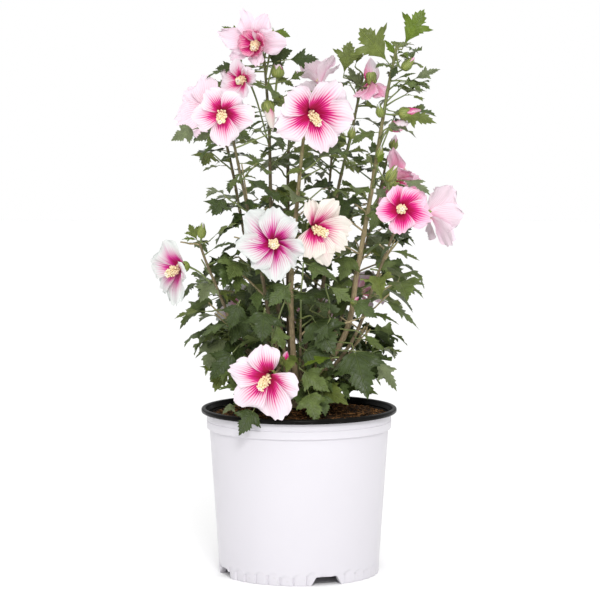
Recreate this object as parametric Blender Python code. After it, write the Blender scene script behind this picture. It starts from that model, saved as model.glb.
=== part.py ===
"""A potted rose-of-Sharon hibiscus: stems and foliage masses that rise from a short stool in a nursery pot.

Metres, +Z up. The origin is the centre of the pot's flat underside. The plant's front faces -Y.
"""

import math
import random
from collections import namedtuple

import bmesh
import bpy
import numpy as np
from mathutils import Vector
from mathutils.bvhtree import BVHTree

GAP = 0.0003
WELD = 1e-6

# Pot: outer radii and heights of the white shell, and the black lining with its rolled rim.
POT_SIDES = 28
FOOT_RADIUS = 0.1148
PAD_RADIUS = 0.046
PAD_SLOPE = 0.009
FLOOR_LIFT = 0.014
FOOT_CORNER = 0.0045
FOOT_RING = 0.012
EDGE = 0.0008
SKIRT_TOP = 0.018
WALL_TOP_RADIUS = 0.128
STEP_HEIGHT = 0.2065
STEP_RISE = 0.0034
BAND_RADIUS = 0.132
BAND_TOP = 0.2302
SHELL_WALL = 0.0016
LINING_WALL = 0.0013
RIM_RADIUS = 0.140
RIM_HEIGHT = 0.238
RIM_ROLL = 0.0072
RIM_CORNER = 0.0018
MOUTH_RADIUS = 0.1335
FLUTES = POT_SIDES // 2
FLUTE_DEPTH = 0.0014
NOTCHES = 4
NOTCH_TURN = math.radians(-70.0)
NOTCH_FOOT_WIDTH = 0.045
NOTCH_TOP_WIDTH = 0.031
NOTCH_HEIGHT = 0.0125
DRAIN_WIDTH = 0.026
DRAIN_DEPTH = 0.007
CUT_OVERRUN = 0.010

# Potting mix: height at the lining and at the stool, and the height of its lumps.
SOIL_EDGE = 0.2270
SOIL_TOP = 0.2365
SOIL_LUMP = 0.0016
SOIL_RINGS = (0.84, 0.64, 0.44)
STOOL_CLEARING = 0.030
LUMPS_END = 0.90

# Stool: the short woody stem that every limb leaves.
STOOL_SIDES = 12
STOOL = ((0.0210, 0.0), (0.0180, 0.0035), (0.0165, 0.010), (0.0160, 0.018), (0.0145, 0.026), (0.0105, 0.032))
STOOL_TOP = 0.0345
# How far inside the stool a limb starts, and how far under its foot.
HEART_INSET = 0.006
HEART_DROP = 0.010

# Limbs and twigs: how many sides, how far apart their rings, and how thick.
LIMB_SIDES = 6
LIMB_STEP = 0.030
LEADER_SIDES = 5
LEADER_STEP = 0.045
TWIG_SIDES = 3
TWIG_RADIUS = 0.0014
TWIG_TIP_RADIUS = 0.0011
TWIG_LENGTHS = (0.028, 0.058)
TWIG_RISES = (12.0, 42.0)
TWIG_TURNS = (0.0, 0.6, -0.6, 1.3, -1.3)
TWIG_TIP_SHARE = 0.98
TWIG_MIDDLE_SHARE = 0.60
JOINT_OVERLAP = 0.002

# Open flower. Its rim, petal by petal, is (turn, share of its radius, share of its cup).
PETALS = 5
PETAL_RIM = ((-0.24, 1.0, 1.0), (0.24, 1.0, 1.0), (math.pi / PETALS, 0.62, 0.62))
PETAL_HALF_THICKNESS = 0.0009
FLOWER_SPIN = 0.4
COLUMN_SINK = 0.006
COLUMN_REACH = 0.56
COLUMN_RADII = (0.0028, 0.0042)
PEDICEL_RADIUS = 0.0016
PEDICEL_ARCH = 0.004
NECK_RADIUS = 0.0019
CALYX_LENGTH = 0.019
CALYX_RADIUS = 0.0064

# Bud: its sides, and how thick and how far up its widest ring is, for a length of 1.
BUD_SIDES = 5
BUD_GIRTH = 0.27
BUD_WIDEST = 0.42

# Leaf outline for a length of 1: (distance along, half width) of its lobes and notches, and its raised point.
LEAF_LOBE = (0.50, 0.30)
LEAF_NOTCH = (0.66, 0.12)
LEAF_MIDDLE = 0.48
LEAF_THICKNESS = 0.0011
LEAF_ROLL = 0.6
LEAF_ROOT_SHARE = 0.16
# Leaf length and the elevation that it points to, in degrees, by the height of its root.
LEAF_SIZES = ((0.28, 0.40, 0.55, 0.75), (0.084, 0.070, 0.056, 0.046))
SIZE_SPREAD = 0.15
LEAF_LEANS = ((0.26, 0.32, 0.60, 0.78), (-4.0, -34.0, -16.0, 4.0))
LEAN_SPREAD = 20.0
LEAF_TURNS = (0.0, 0.5, -0.5, 1.1, -1.1, 1.8, -1.8, 2.6)
TURN_LIFT = 0.12
PAIR_TURN = 1.2

# The rule: leaves turn by this from node to node, keep this clear of what stands already, and may pass
# this far over the border with the next mass. Below the full height a side shoot bears a third leaf.
TURN = math.radians(137.5)
CLEARANCE = 0.0012
SHARED_BORDER = 0.016
FULL_FOLIAGE = 0.45
FIRST_NODE = 0.3

Habit = namedtuple("Habit", "bare spacing pairs")
# How leaves stand on a leader: the stretch with none, the distance between nodes, and the share with a pair.
STEM_HABIT = Habit(0.0, 0.0275, 0.20)
SHOOT_HABIT = Habit(0.018, 0.012, 0.95)

# Height, furthest left, furthest right and half depth of the space that the seeded leaves fill.
CROWN = (
    (0.240, -0.118, 0.118, 0.120),
    (0.290, -0.140, 0.145, 0.150),
    (0.365, -0.180, 0.178, 0.175),
    (0.445, -0.150, 0.187, 0.175),
    (0.530, -0.135, 0.160, 0.180),
    (0.620, -0.165, 0.180, 0.185),
    (0.700, -0.118, 0.195, 0.160),
    (0.760, -0.095, 0.160, 0.100),
    (0.800, -0.050, 0.150, 0.060),
)
CROWN_OVER_MIX = 0.010
CROWN_OVER_RIM = 0.008
CROWN_IN_MOUTH = 0.012

Stem = namedtuple("Stem", "turn rise inset radius tip_radius bare way")
# Each stem: where its foot leaves the stool (turn in degrees, rise above the mix, inset from the axis), its
# radius at foot and tip, the height where it turns leafy, and the points that it passes through.
STEMS = {
    "centre": Stem(255, 0.026, 0.009, 0.0046, 0.0022, 0.345, (
        (-0.009, -0.022, 0.329), (-0.011, -0.040, 0.430), (-0.001, -0.052, 0.551), (0.008, -0.048, 0.640))),
    "tall": Stem(3, 0.019, 0.013, 0.0047, 0.0020, 0.400, (
        (0.067, -0.004, 0.346), (0.083, 0.000, 0.434), (0.101, 0.006, 0.534), (0.124, 0.018, 0.676),
        (0.140, 0.022, 0.755))),
    "right": Stem(322, 0.014, 0.013, 0.0030, 0.0017, 0.350, (
        (0.074, -0.035, 0.334), (0.105, -0.050, 0.417), (0.129, -0.060, 0.481), (0.141, -0.056, 0.520))),
    "left": Stem(195, 0.017, 0.013, 0.0030, 0.0017, 0.345, (
        (-0.088, -0.020, 0.343), (-0.106, -0.026, 0.387), (-0.131, -0.034, 0.448), (-0.141, -0.036, 0.478))),
    "front_left": Stem(228, 0.016, 0.013, 0.0032, 0.0018, 0.350, (
        (-0.037, -0.035, 0.345), (-0.052, -0.055, 0.432), (-0.074, -0.078, 0.538), (-0.092, -0.084, 0.625))),
    "peak_left": Stem(170, 0.026, 0.0095, 0.0034, 0.0018, 0.350, (
        (-0.026, 0.018, 0.346), (-0.039, 0.045, 0.474), (-0.043, 0.055, 0.633), (-0.050, 0.052, 0.735))),
    "back": Stem(122, 0.026, 0.0095, 0.0032, 0.0018, 0.350, (
        (-0.015, 0.035, 0.345), (-0.016, 0.100, 0.508), (-0.014, 0.115, 0.617), (0.006, 0.105, 0.690))),
    "back_right": Stem(78, 0.026, 0.0095, 0.0027, 0.0016, 0.350, (
        (0.013, 0.040, 0.344), (0.038, 0.110, 0.485), (0.049, 0.135, 0.602))),
    "high_right": Stem(35, 0.026, 0.0095, 0.0032, 0.0018, 0.355, (
        (0.027, 0.026, 0.360), (0.052, 0.066, 0.524), (0.077, 0.083, 0.632), (0.093, 0.085, 0.712))),
    "far_left": Stem(156, 0.016, 0.013, 0.0030, 0.0017, 0.350, (
        (-0.052, 0.055, 0.343), (-0.080, 0.100, 0.478), (-0.104, 0.095, 0.603), (-0.125, 0.062, 0.655))),
    "far_right": Stem(42, 0.015, 0.013, 0.0030, 0.0016, 0.350, (
        (0.055, 0.050, 0.345), (0.096, 0.110, 0.456), (0.120, 0.135, 0.545), (0.130, 0.130, 0.590))),
}

# Each low shoot: the turn that it takes from the stool, how far out and how high its tip reaches.
SHOOT_RADIUS = 0.0023
SHOOT_RISE = 0.008
SHOOT_HEART = 0.010
SHOOT_ELBOW = (0.5, 0.34)
Shoot = namedtuple("Shoot", "turn reach height")
SHOOTS = {
    "low_front": Shoot(272, 0.070, 0.372),
    "low_front_right": Shoot(300, 0.086, 0.385),
    "low_right": Shoot(343, 0.104, 0.362),
    "low_back_right": Shoot(60, 0.100, 0.378),
    "low_back": Shoot(96, 0.100, 0.388),
    "low_back_left": Shoot(128, 0.102, 0.378),
    "low_left": Shoot(178, 0.104, 0.362),
    "low_front_left": Shoot(246, 0.092, 0.345),
}

Bloom = namedtuple("Bloom", "mass fraction eye facing radius cup")
# Each open flower: its mass, how far up the mass's leader it springs, its eye, the way that it faces, its
# radius, and how deep its cup is for that radius.
BLOOMS = (
    Bloom("front_left", 1.0, (-0.106, -0.115, 0.654), (-0.10, -1.0, -0.20), 0.043, 0.30),
    Bloom("centre", 1.0, (0.017, -0.085, 0.659), (0.18, -1.0, -0.22), 0.056, 0.28),
    Bloom("centre", 0.05, (-0.035, -0.105, 0.480), (0.0, -1.0, -0.05), 0.052, 0.26),
    Bloom("centre", 0.30, (0.021, -0.098, 0.500), (0.50, -1.0, -0.10), 0.049, 0.34),
    Bloom("right", 1.0, (0.142, -0.086, 0.526), (0.05, -1.0, -0.05), 0.039, 0.34),
    Bloom("low_front_left", 1.0, (-0.043, -0.138, 0.298), (-0.26, -1.0, -0.26), 0.052, 0.30),
    Bloom("left", 0.40, (-0.170, -0.045, 0.441), (-0.85, -0.50, -0.10), 0.047, 0.38),
    Bloom("peak_left", 1.0, (-0.061, 0.030, 0.756), (-0.05, -1.0, 0.22), 0.044, 0.62),
    Bloom("peak_left", 0.66, (-0.080, 0.030, 0.705), (-0.60, -0.80, 0.10), 0.030, 0.80),
    Bloom("far_left", 1.0, (-0.158, 0.030, 0.668), (-0.85, 0.10, 0.10), 0.041, 0.45),
    Bloom("back", 1.0, (0.024, 0.102, 0.716), (0.10, -0.50, 0.85), 0.031, 0.70),
    Bloom("tall", 0.30, (0.158, 0.028, 0.582), (0.75, 0.15, 0.60), 0.033, 0.85),
    Bloom("right", 0.80, (0.190, -0.022, 0.518), (0.90, 0.10, -0.12), 0.045, 0.42),
    Bloom("high_right", 0.88, (0.111, 0.060, 0.690), (0.35, -0.50, -0.75), 0.026, 0.95),
    Bloom("low_back_right", 0.95, (0.092, 0.112, 0.394), (0.80, 0.70, 0.10), 0.040, 0.40),
    Bloom("back", 0.90, (0.020, 0.160, 0.655), (0.10, 1.0, -0.10), 0.050, 0.30),
    Bloom("far_left", 0.85, (-0.112, 0.130, 0.642), (-0.30, 1.0, -0.10), 0.044, 0.34),
    Bloom("back", 0.18, (-0.034, 0.158, 0.468), (-0.15, 1.0, 0.0), 0.046, 0.30),
    Bloom("far_right", 0.72, (0.148, 0.162, 0.532), (0.45, 1.0, 0.05), 0.042, 0.34),
    Bloom("low_back", 1.0, (0.020, 0.148, 0.355), (0.10, 1.0, -0.05), 0.048, 0.30),
    Bloom("low_back_left", 1.0, (-0.085, 0.120, 0.368), (-0.60, 0.90, 0.0), 0.042, 0.34),
)

Bud = namedtuple("Bud", "mass fraction tip length")
# Each bud: its mass, how far up the leader it springs, its tip and its length.
BUDS = (
    Bud("peak_left", 0.70, (-0.029, 0.050, 0.738), 0.030),
    Bud("peak_left", 0.93, (-0.038, 0.050, 0.780), 0.022),
    Bud("tall", 0.97, (0.162, 0.020, 0.728), 0.024),
    Bud("tall", 0.56, (0.150, 0.014, 0.634), 0.034),
    Bud("tall", 0.80, (0.108, 0.016, 0.690), 0.022),
    Bud("tall", 0.40, (0.116, -0.012, 0.612), 0.020),
    Bud("high_right", 0.95, (0.103, 0.076, 0.738), 0.030),
    Bud("high_right", 0.60, (0.078, 0.062, 0.640), 0.020),
    Bud("left", 0.97, (-0.136, -0.040, 0.505), 0.022),
    Bud("low_front_left", 0.55, (-0.018, -0.098, 0.340), 0.024),
    Bud("back_right", 0.90, (0.066, 0.146, 0.628), 0.022),
    Bud("far_right", 0.98, (0.142, 0.116, 0.625), 0.022),
)

Blade = namedtuple("Blade", "mass fraction tip length lean")
# Each leaf that marks the outline: its mass, how far up the leader it springs, its tip, its length and the
# elevation that it points to, in degrees.
BLADES = (
    Blade("tall", 1.0, (0.175, 0.018, 0.799), 0.060, 56),
    Blade("tall", 0.88, (0.086, 0.008, 0.765), 0.060, 40),
    Blade("tall", 0.76, (0.201, 0.018, 0.717), 0.048, 16),
    Blade("tall", 0.52, (0.197, 0.030, 0.652), 0.060, -5),
    Blade("high_right", 0.96, (0.040, 0.052, 0.750), 0.056, 46),
    Blade("peak_left", 0.88, (0.024, 0.014, 0.737), 0.064, -8),
    Blade("peak_left", 0.96, (-0.109, 0.040, 0.781), 0.046, 14),
    Blade("left", 0.96, (-0.219, -0.030, 0.484), 0.054, 8),
    Blade("left", 0.10, (-0.177, -0.042, 0.368), 0.056, -22),
    Blade("right", 0.10, (0.171, -0.060, 0.362), 0.062, -42),
    Blade("right", 0.50, (0.187, -0.050, 0.452), 0.060, -28),
    Blade("low_front_right", 0.80, (0.153, -0.062, 0.336), 0.066, -38),
    Blade("low_right", 0.96, (0.136, -0.046, 0.277), 0.072, -52),
    Blade("low_left", 0.90, (-0.132, -0.050, 0.288), 0.072, -48),
    Blade("low_front_left", 0.60, (-0.086, -0.150, 0.212), 0.066, -52),
    Blade("front_left", 0.98, (-0.176, -0.062, 0.624), 0.054, -14),
    Blade("front_left", 0.60, (-0.134, -0.090, 0.572), 0.058, -14),
)

BLADE_NORMAL = Vector((0.0, -0.25, 1.0))

LEAF_GREEN = (0.045, 0.095, 0.022, 1.0)
BARK_TAN = (0.30, 0.22, 0.12, 1.0)
POT_WHITE = (0.82, 0.81, 0.84, 1.0)
POT_BLACK = (0.012, 0.012, 0.013, 1.0)
MIX_BROWN = (0.060, 0.032, 0.015, 1.0)


# ---- Curves -------------------------------------------------------------------------------------------


class Path:
    """A smooth curve through a few points, read by the length run along it."""

    def __init__(self, points, steps=10):
        points = [Vector(p) for p in points]
        ends = [2 * points[0] - points[1]] + points + [2 * points[-1] - points[-2]]
        self.points = [points[0]]
        for i in range(1, len(ends) - 2):
            before, start, end, after = ends[i - 1 : i + 3]
            for step in range(1, steps + 1):
                t = step / steps
                self.points.append(
                    0.5
                    * (
                        2 * start
                        + (end - before) * t
                        + (2 * before - 5 * start + 4 * end - after) * t**2
                        + (3 * start - before - 3 * end + after) * t**3
                    )
                )
        runs = [(b - a).length for a, b in zip(self.points, self.points[1:])]
        self.marks = np.concatenate([[0.0], np.cumsum(runs)])
        self.length = float(self.marks[-1])

    def at(self, run):
        """The point this far along."""
        i = int(np.clip(np.searchsorted(self.marks, run) - 1, 0, len(self.points) - 2))
        share = (run - self.marks[i]) / (self.marks[i + 1] - self.marks[i])
        return self.points[i].lerp(self.points[i + 1], float(share))

    def along(self, run):
        """The direction of travel this far along."""
        span = 0.002
        run = min(max(run, span), self.length - span)
        return (self.at(run + span) - self.at(run - span)).normalized()

    def run_at_height(self, height):
        """The length run where the curve first reaches this height."""
        for mark, point in zip(self.marks, self.points):
            if point.z >= height:
                return float(mark)
        return self.length

    def nearest(self, point):
        return min((p - point).length for p in self.points[::3] + self.points[-1:])


def way_of(turn, elevation):
    """The unit vector that points this way: turn about +Z, then elevation."""
    flat = math.cos(elevation)
    return Vector((flat * math.cos(turn), flat * math.sin(turn), math.sin(elevation)))


def square_to(direction, hint):
    """A unit vector square to the direction, as near the hint as it can be."""
    side = hint - direction * hint.dot(direction)
    return side.normalized() if side.length > 1e-4 else direction.orthogonal().normalized()


# ---- Closed shapes as (points, faces) -----------------------------------------------------------------

FIRST_SIDE = Vector((0.31, 0.17, 0.05))

def tube(path, stations, sides):
    """A closed limb with flat ends along a path, through stations of (run, radius)."""
    points, faces = [], []
    hint = FIRST_SIDE
    for run, radius in stations:
        out = square_to(path.along(run), hint)
        across = path.along(run).cross(out)
        hint = out
        for k in range(sides):
            angle = 2 * math.pi * k / sides
            points.append(path.at(run) + radius * (math.cos(angle) * out + math.sin(angle) * across))
    last = (len(stations) - 1) * sides
    for low in range(0, last, sides):
        high = low + sides
        for k in range(sides):
            nxt = (k + 1) % sides
            faces.append((low + k, low + nxt, high + nxt, high + k))
    faces.append(tuple(reversed(range(sides))))
    faces.append(tuple(range(last, last + sides)))
    return points, faces


def taper(start, end, first_radius, last_radius, step):
    """Stations at about this step, with the radius falling evenly."""
    count = max(1, round((end - start) / step))
    return [
        (start + (end - start) * i / count, first_radius + (last_radius - first_radius) * i / count)
        for i in range(count + 1)
    ]


def fan(rim, front, back):
    """A closed lens: a rim of points, with one point in front of it and one behind."""
    points = list(rim) + [front, back]
    count = len(rim)
    faces = []
    for i in range(count):
        nxt = (i + 1) % count
        faces += [(i, nxt, count), (nxt, i, count + 1)]
    return points, faces


def leaf_shape(root, tip, normal, cut=0.0, swell=0.0):
    """A three-lobed leaf, flat behind and raised in front. A cut leaves out its root; swell thickens it."""
    axis = tip - root
    length = axis.length
    along = axis / length
    normal = square_to(along, normal)
    side = along.cross(normal)
    wide = length + 2.0 * swell

    def at(run, half):
        return root + axis * run + side * (half * wide)

    lobe, lobe_half = LEAF_LOBE
    notch, notch_half = LEAF_NOTCH
    rim = [at(cut, 0), at(lobe, lobe_half), at(notch, notch_half)]
    rim += [at(1.0, 0), at(notch, -notch_half), at(lobe, -lobe_half)]
    middle = at(LEAF_MIDDLE, 0)
    if swell:
        return fan(rim, middle + normal * (LEAF_THICKNESS + swell), middle - normal * swell)
    points = rim + [middle + normal * LEAF_THICKNESS]
    faces = [(i, (i + 1) % 6, 6) for i in range(6)]
    faces += [(1, 0, 5), (2, 1, 5), (4, 2, 5), (3, 2, 4)]
    return points, faces


def petals_shape(eye, facing, radius, cup, spin):
    """Five petals in one cupped disc with a notch between neighbours."""
    up = square_to(facing, Vector((0, 0, 1)))
    side = facing.cross(up)
    spread = math.sqrt(1.0 - 0.9 * cup * cup) * radius
    rim = []
    for petal in range(PETALS):
        for turn, reach, depth in PETAL_RIM:
            angle = spin + petal * 2 * math.pi / PETALS + turn
            flat = up * math.cos(angle) + side * math.sin(angle)
            rim.append(eye + facing * (cup * radius * depth) + flat * (spread * reach))
    half = facing * PETAL_HALF_THICKNESS
    return fan(rim, eye + half, eye - half)


def column_shape(eye, facing, radius):
    """The staminal column: a club that stands out of the eye."""
    path = Path((eye - facing * COLUMN_SINK, eye + facing * COLUMN_REACH * radius), steps=1)
    return tube(path, ((0.0, COLUMN_RADII[0]), (path.length, COLUMN_RADII[1])), 4)


def pedicel_shape(start, eye, facing):
    """The flower's stalk, which widens into the calyx behind the petals."""
    neck = eye - facing * CALYX_LENGTH
    arch = start.lerp(neck, 0.6) + Vector((0, 0, PEDICEL_ARCH))
    path = Path((start, arch, neck, eye + facing * PETAL_HALF_THICKNESS), steps=3)
    calyx = path.length - CALYX_LENGTH
    return tube(path, ((0.0, PEDICEL_RADIUS), (calyx, NECK_RADIUS), (path.length, CALYX_RADIUS)), 4)


def bud_shape(base, tip, radius):
    """A pointed bud, fattest a little below its middle."""
    axis = (tip - base).normalized()
    out = square_to(axis, Vector((0, 0, 1)))
    across = axis.cross(out)
    middle = base.lerp(tip, BUD_WIDEST)
    rim = []
    for k in range(BUD_SIDES):
        angle = 2 * math.pi * k / BUD_SIDES
        rim.append(middle + radius * (math.cos(angle) * out + math.sin(angle) * across))
    return fan(rim, tip, base)


# ---- The rule that grows the plant --------------------------------------------------------------------


def box_of(points):
    return [min(p[i] for p in points) for i in range(3)], [max(p[i] for p in points) for i in range(3)]


class Room:
    """What has been placed so far, so that nothing new is placed across it."""

    def __init__(self):
        self.taken = []

    def add(self, owner, shape):
        points, faces = shape
        self.taken.append((owner, box_of(points), BVHTree.FromPolygons(points, faces)))

    def free(self, owner, whole, trimmed):
        """Whether the whole shape clears every other mass, and the trimmed one its own mass too."""
        box = box_of(whole[0])
        trees = {}
        for holder, (low, high), tree in self.taken:
            if any(box[0][i] > high[i] or box[1][i] < low[i] for i in range(3)):
                continue
            own = holder == owner
            if own not in trees:
                trees[own] = BVHTree.FromPolygons(*(trimmed if own else whole))
            if trees[own].overlap(tree):
                return False
        return True


def leader_of_stem(stem):
    """The whole curve of a stem, from inside the stool to its tip, and the run where its foliage starts."""
    foot_way = way_of(math.radians(stem.turn), 0.0)
    foot = foot_way * stem.inset + Vector((0, 0, SOIL_TOP + GAP + stem.rise))
    heart = foot - foot_way * HEART_INSET - Vector((0, 0, HEART_DROP))
    path = Path((heart, foot) + stem.way)
    return path, path.run_at_height(stem.bare)


def leader_of_shoot(shoot):
    """The curve of a low shoot: out of the stool's side, then arching up."""
    out = way_of(math.radians(shoot.turn), 0.0)
    level = SOIL_TOP + GAP + SHOOT_RISE
    reach_share, rise_share = SHOOT_ELBOW
    heart = out * SHOOT_HEART + Vector((0, 0, level))
    elbow = out * (reach_share * shoot.reach) + Vector((0, 0, level + rise_share * (shoot.height - level)))
    tip = out * shoot.reach + Vector((0, 0, shoot.height))
    return Path((heart, elbow, tip)), 0.0


def crown_limits(height):
    heights = [row[0] for row in CROWN]
    return [float(np.interp(height, heights, [row[i] for row in CROWN])) for i in (1, 2, 3)]


def in_crown(point):
    """Whether a point lies in the crown's outline, above the mix and clear of the rim."""
    left, right, depth = crown_limits(point.z)
    radial = math.hypot(point.x, point.y)
    in_mouth = radial < MOUTH_RADIUS - CROWN_IN_MOUTH
    floor = SOIL_TOP + CROWN_OVER_MIX if in_mouth else RIM_HEIGHT + CROWN_OVER_RIM
    return left < point.x < right and abs(point.y) < depth and floor < point.z < CROWN[-1][0]


class Mass:
    """One mass of foliage: its leader, and the twigs, leaves, flowers and buds that stand on it."""

    def __init__(self, name, path, start, radius, tip_radius, habit):
        self.name = name
        self.path = path
        self.start = start
        self.span = path.length - start
        self.radius = radius
        self.tip_radius = tip_radius
        self.habit = habit
        self.shapes = []

    def spot(self, fraction):
        """A point on the leader, this share of the way from its start to its tip."""
        return self.path.at(self.start + min(fraction, 0.995) * self.span)

    def leader_shape(self):
        stations = taper(self.start, self.path.length, self.radius, self.tip_radius, LEADER_STEP)
        return tube(self.path, stations, LEADER_SIDES)

    def place(self, room, shape):
        self.shapes.append(shape)
        room.add(self.name, shape)


def twig_between(start, end, radius, tip_radius=TWIG_TIP_RADIUS, trim=0.0):
    """A straight three-sided twig. A trim leaves out its root."""
    path = Path((start, end), steps=1)
    return tube(path, ((trim, radius), (path.length, tip_radius)), TWIG_SIDES)


def add_flower(mass, room, bloom, spin):
    eye = Vector(bloom.eye)
    facing = Vector(bloom.facing).normalized()
    mass.place(room, pedicel_shape(mass.spot(bloom.fraction), eye, facing))
    mass.place(room, petals_shape(eye, facing, bloom.radius, bloom.cup, spin))
    mass.place(room, column_shape(eye, facing, bloom.radius))


def add_bud(mass, room, bud):
    start, tip = mass.spot(bud.fraction), Vector(bud.tip)
    axis = ((tip - start).normalized() + Vector((0, 0, 0.5))).normalized()
    base = tip - axis * bud.length
    mass.place(room, twig_between(start, base + axis * JOINT_OVERLAP, PEDICEL_RADIUS))
    mass.place(room, bud_shape(base, tip, BUD_GIRTH * bud.length))


def add_blade(mass, room, blade):
    """A leaf with a set tip, on a twig that bridges from the leader to its root."""
    start, tip = mass.spot(blade.fraction), Vector(blade.tip)
    heading = tip - start
    root = tip - way_of(math.atan2(heading.y, heading.x), math.radians(blade.lean)) * blade.length
    overlap = (root - start).normalized() * JOINT_OVERLAP
    mass.place(room, twig_between(start, root + overlap, TWIG_RADIUS))
    mass.place(room, leaf_shape(root, tip, BLADE_NORMAL))


def leaf_length(height, dice):
    """Low leaves are the largest."""
    size = float(np.interp(height, *LEAF_SIZES))
    return size * dice.uniform(1.0 - SIZE_SPREAD, 1.0 + SIZE_SPREAD)


def leaf_lean(height, dice):
    """The elevation that a leaf points to: low leaves hang, and the top ones stand level."""
    middle = float(np.interp(height, *LEAF_LEANS))
    return math.radians(middle + dice.uniform(-LEAN_SPREAD, LEAN_SPREAD))


def in_own_space(mass, masses, tip):
    """Whether a tip lies in the crown, and nearer its own leader than the next mass allows for."""
    if not in_crown(tip):
        return False
    own = mass.path.nearest(tip)
    return all(own <= other.path.nearest(tip) + SHARED_BORDER for other in masses if other is not mass)


def try_leaf(mass, masses, room, root, turn, dice):
    """Places one seeded leaf, turned until it is clear, or skips it."""
    length = leaf_length(root.z, dice)
    lean = leaf_lean(root.z, dice)
    roll = Vector((dice.uniform(-LEAF_ROLL, LEAF_ROLL), dice.uniform(-LEAF_ROLL, LEAF_ROLL), 1.0))
    for nudge in LEAF_TURNS:
        tip = root + way_of(turn + nudge, lean + TURN_LIFT * nudge) * length
        if not in_own_space(mass, masses, tip):
            continue
        whole = leaf_shape(root, tip, roll, swell=CLEARANCE)
        trimmed = leaf_shape(root, tip, roll, cut=LEAF_ROOT_SHARE, swell=CLEARANCE)
        if room.free(mass.name, whole, trimmed):
            mass.place(room, leaf_shape(root, tip, roll))
            return


def try_side_shoot(mass, masses, room, run, turn, dice):
    """A twig off the leader with leaves at its tip and along it, or nothing where it has no room."""
    root = mass.path.at(run)
    length = dice.uniform(*TWIG_LENGTHS)
    rise = math.radians(dice.uniform(*TWIG_RISES))
    wide = TWIG_RADIUS + CLEARANCE
    for nudge in TWIG_TURNS:
        heading = turn + nudge
        tip = root + way_of(heading, rise) * length
        if not in_own_space(mass, masses, tip):
            continue
        trimmed = twig_between(root, tip, wide, wide, trim=LEAF_ROOT_SHARE * length + TWIG_RADIUS)
        if not room.free(mass.name, twig_between(root, tip, wide, wide), trimmed):
            continue
        mass.place(room, twig_between(root, tip, TWIG_RADIUS))
        end = root.lerp(tip, TWIG_TIP_SHARE)
        try_leaf(mass, masses, room, end, heading, dice)
        try_leaf(mass, masses, room, end, heading + dice.choice((-PAIR_TURN, PAIR_TURN)), dice)
        if root.z < FULL_FOLIAGE:
            middle = root.lerp(tip, TWIG_MIDDLE_SHARE)
            try_leaf(mass, masses, room, middle, heading + dice.choice((-PAIR_TURN, PAIR_TURN)), dice)
        return True
    return False


def grow_mass(mass, masses, room):
    """Works up the leader, node by node, and sets a leaf or a leafy side shoot at each."""
    dice = random.Random(mass.name)
    leafy = mass.span - mass.habit.bare
    count = int(leafy / mass.habit.spacing)
    turn = dice.uniform(0.0, 2 * math.pi)
    for node in range(1, count + 1):
        run = mass.start + mass.habit.bare + leafy * (node - FIRST_NODE) / count
        turn += TURN
        grown = False
        if node % 2 == 0 and node < count:
            grown = try_side_shoot(mass, masses, room, run, turn, dice)
        if not grown:
            try_leaf(mass, masses, room, mass.path.at(run), turn, dice)
        if dice.random() < mass.habit.pairs:
            try_leaf(mass, masses, room, mass.path.at(run), turn + math.pi, dice)


# ---- Objects ------------------------------------------------------------------------------------------


def clear_scene():
    for obj in list(bpy.data.objects):
        bpy.data.objects.remove(obj)


def material(name, colour, roughness):
    made = bpy.data.materials.new(name)
    made.use_nodes = True
    shader = made.node_tree.nodes["Principled BSDF"]
    shader.inputs["Base Color"].default_value = colour
    shader.inputs["Roughness"].default_value = roughness
    shader.inputs["Metallic"].default_value = 0.0
    return made


def new_object(name, mesh):
    obj = bpy.data.objects.new(name, mesh)
    bpy.context.scene.collection.objects.link(obj)
    return obj


def shape_object(name, shape):
    points, faces = shape
    mesh = bpy.data.meshes.new(name)
    mesh.from_pydata([tuple(p) for p in points], [], faces)
    return new_object(name, mesh)


def finish(obj, made, smooth=None):
    obj.data.materials.clear()
    obj.data.materials.append(made)
    if smooth is not None:
        obj.data.shade_smooth()
        obj.data.set_sharp_from_angle(angle=math.radians(smooth))


def apply_modifiers(obj):
    """Keeps the evaluated mesh and drops the modifiers."""
    graph = bpy.context.evaluated_depsgraph_get()
    mesh = bpy.data.meshes.new_from_object(obj.evaluated_get(graph))
    obj.modifiers.clear()
    obj.data = mesh


def cut(obj, cutter):
    modifier = obj.modifiers.new("Cut", "BOOLEAN")
    modifier.operation = "DIFFERENCE"
    modifier.solver = "EXACT"
    modifier.object = cutter
    apply_modifiers(obj)


def keep_main_shell(obj):
    """Drops loose scraps and the inner walls of sealed hollows."""
    made = bmesh.new()
    made.from_mesh(obj.data)
    left = set(made.faces)
    shells = []
    while left:
        shell, waiting = [], [left.pop()]
        while waiting:
            face = waiting.pop()
            shell.append(face)
            for edge in face.edges:
                for other in edge.link_faces:
                    if other in left:
                        left.remove(other)
                        waiting.append(other)
        shells.append(shell)
    shells.sort(key=len)
    spare = [face for shell in shells[:-1] for face in shell]
    bmesh.ops.delete(made, geom=spare, context="FACES")
    made.to_mesh(obj.data)
    made.free()


def fuse(base, parts):
    """Joins the parts to the base by one Boolean union on their collection, then removes them."""
    group = bpy.data.collections.new(base.name + "_parts")
    bpy.context.scene.collection.children.link(group)
    for part in parts:
        bpy.context.scene.collection.objects.unlink(part)
        group.objects.link(part)
    modifier = base.modifiers.new("Fuse", "BOOLEAN")
    modifier.operation = "UNION"
    modifier.solver = "MANIFOLD"
    modifier.operand_type = "COLLECTION"
    modifier.collection = group
    apply_modifiers(base)
    for part in list(group.objects):
        bpy.data.objects.remove(part)
    bpy.data.collections.remove(group)
    keep_main_shell(base)


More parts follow.
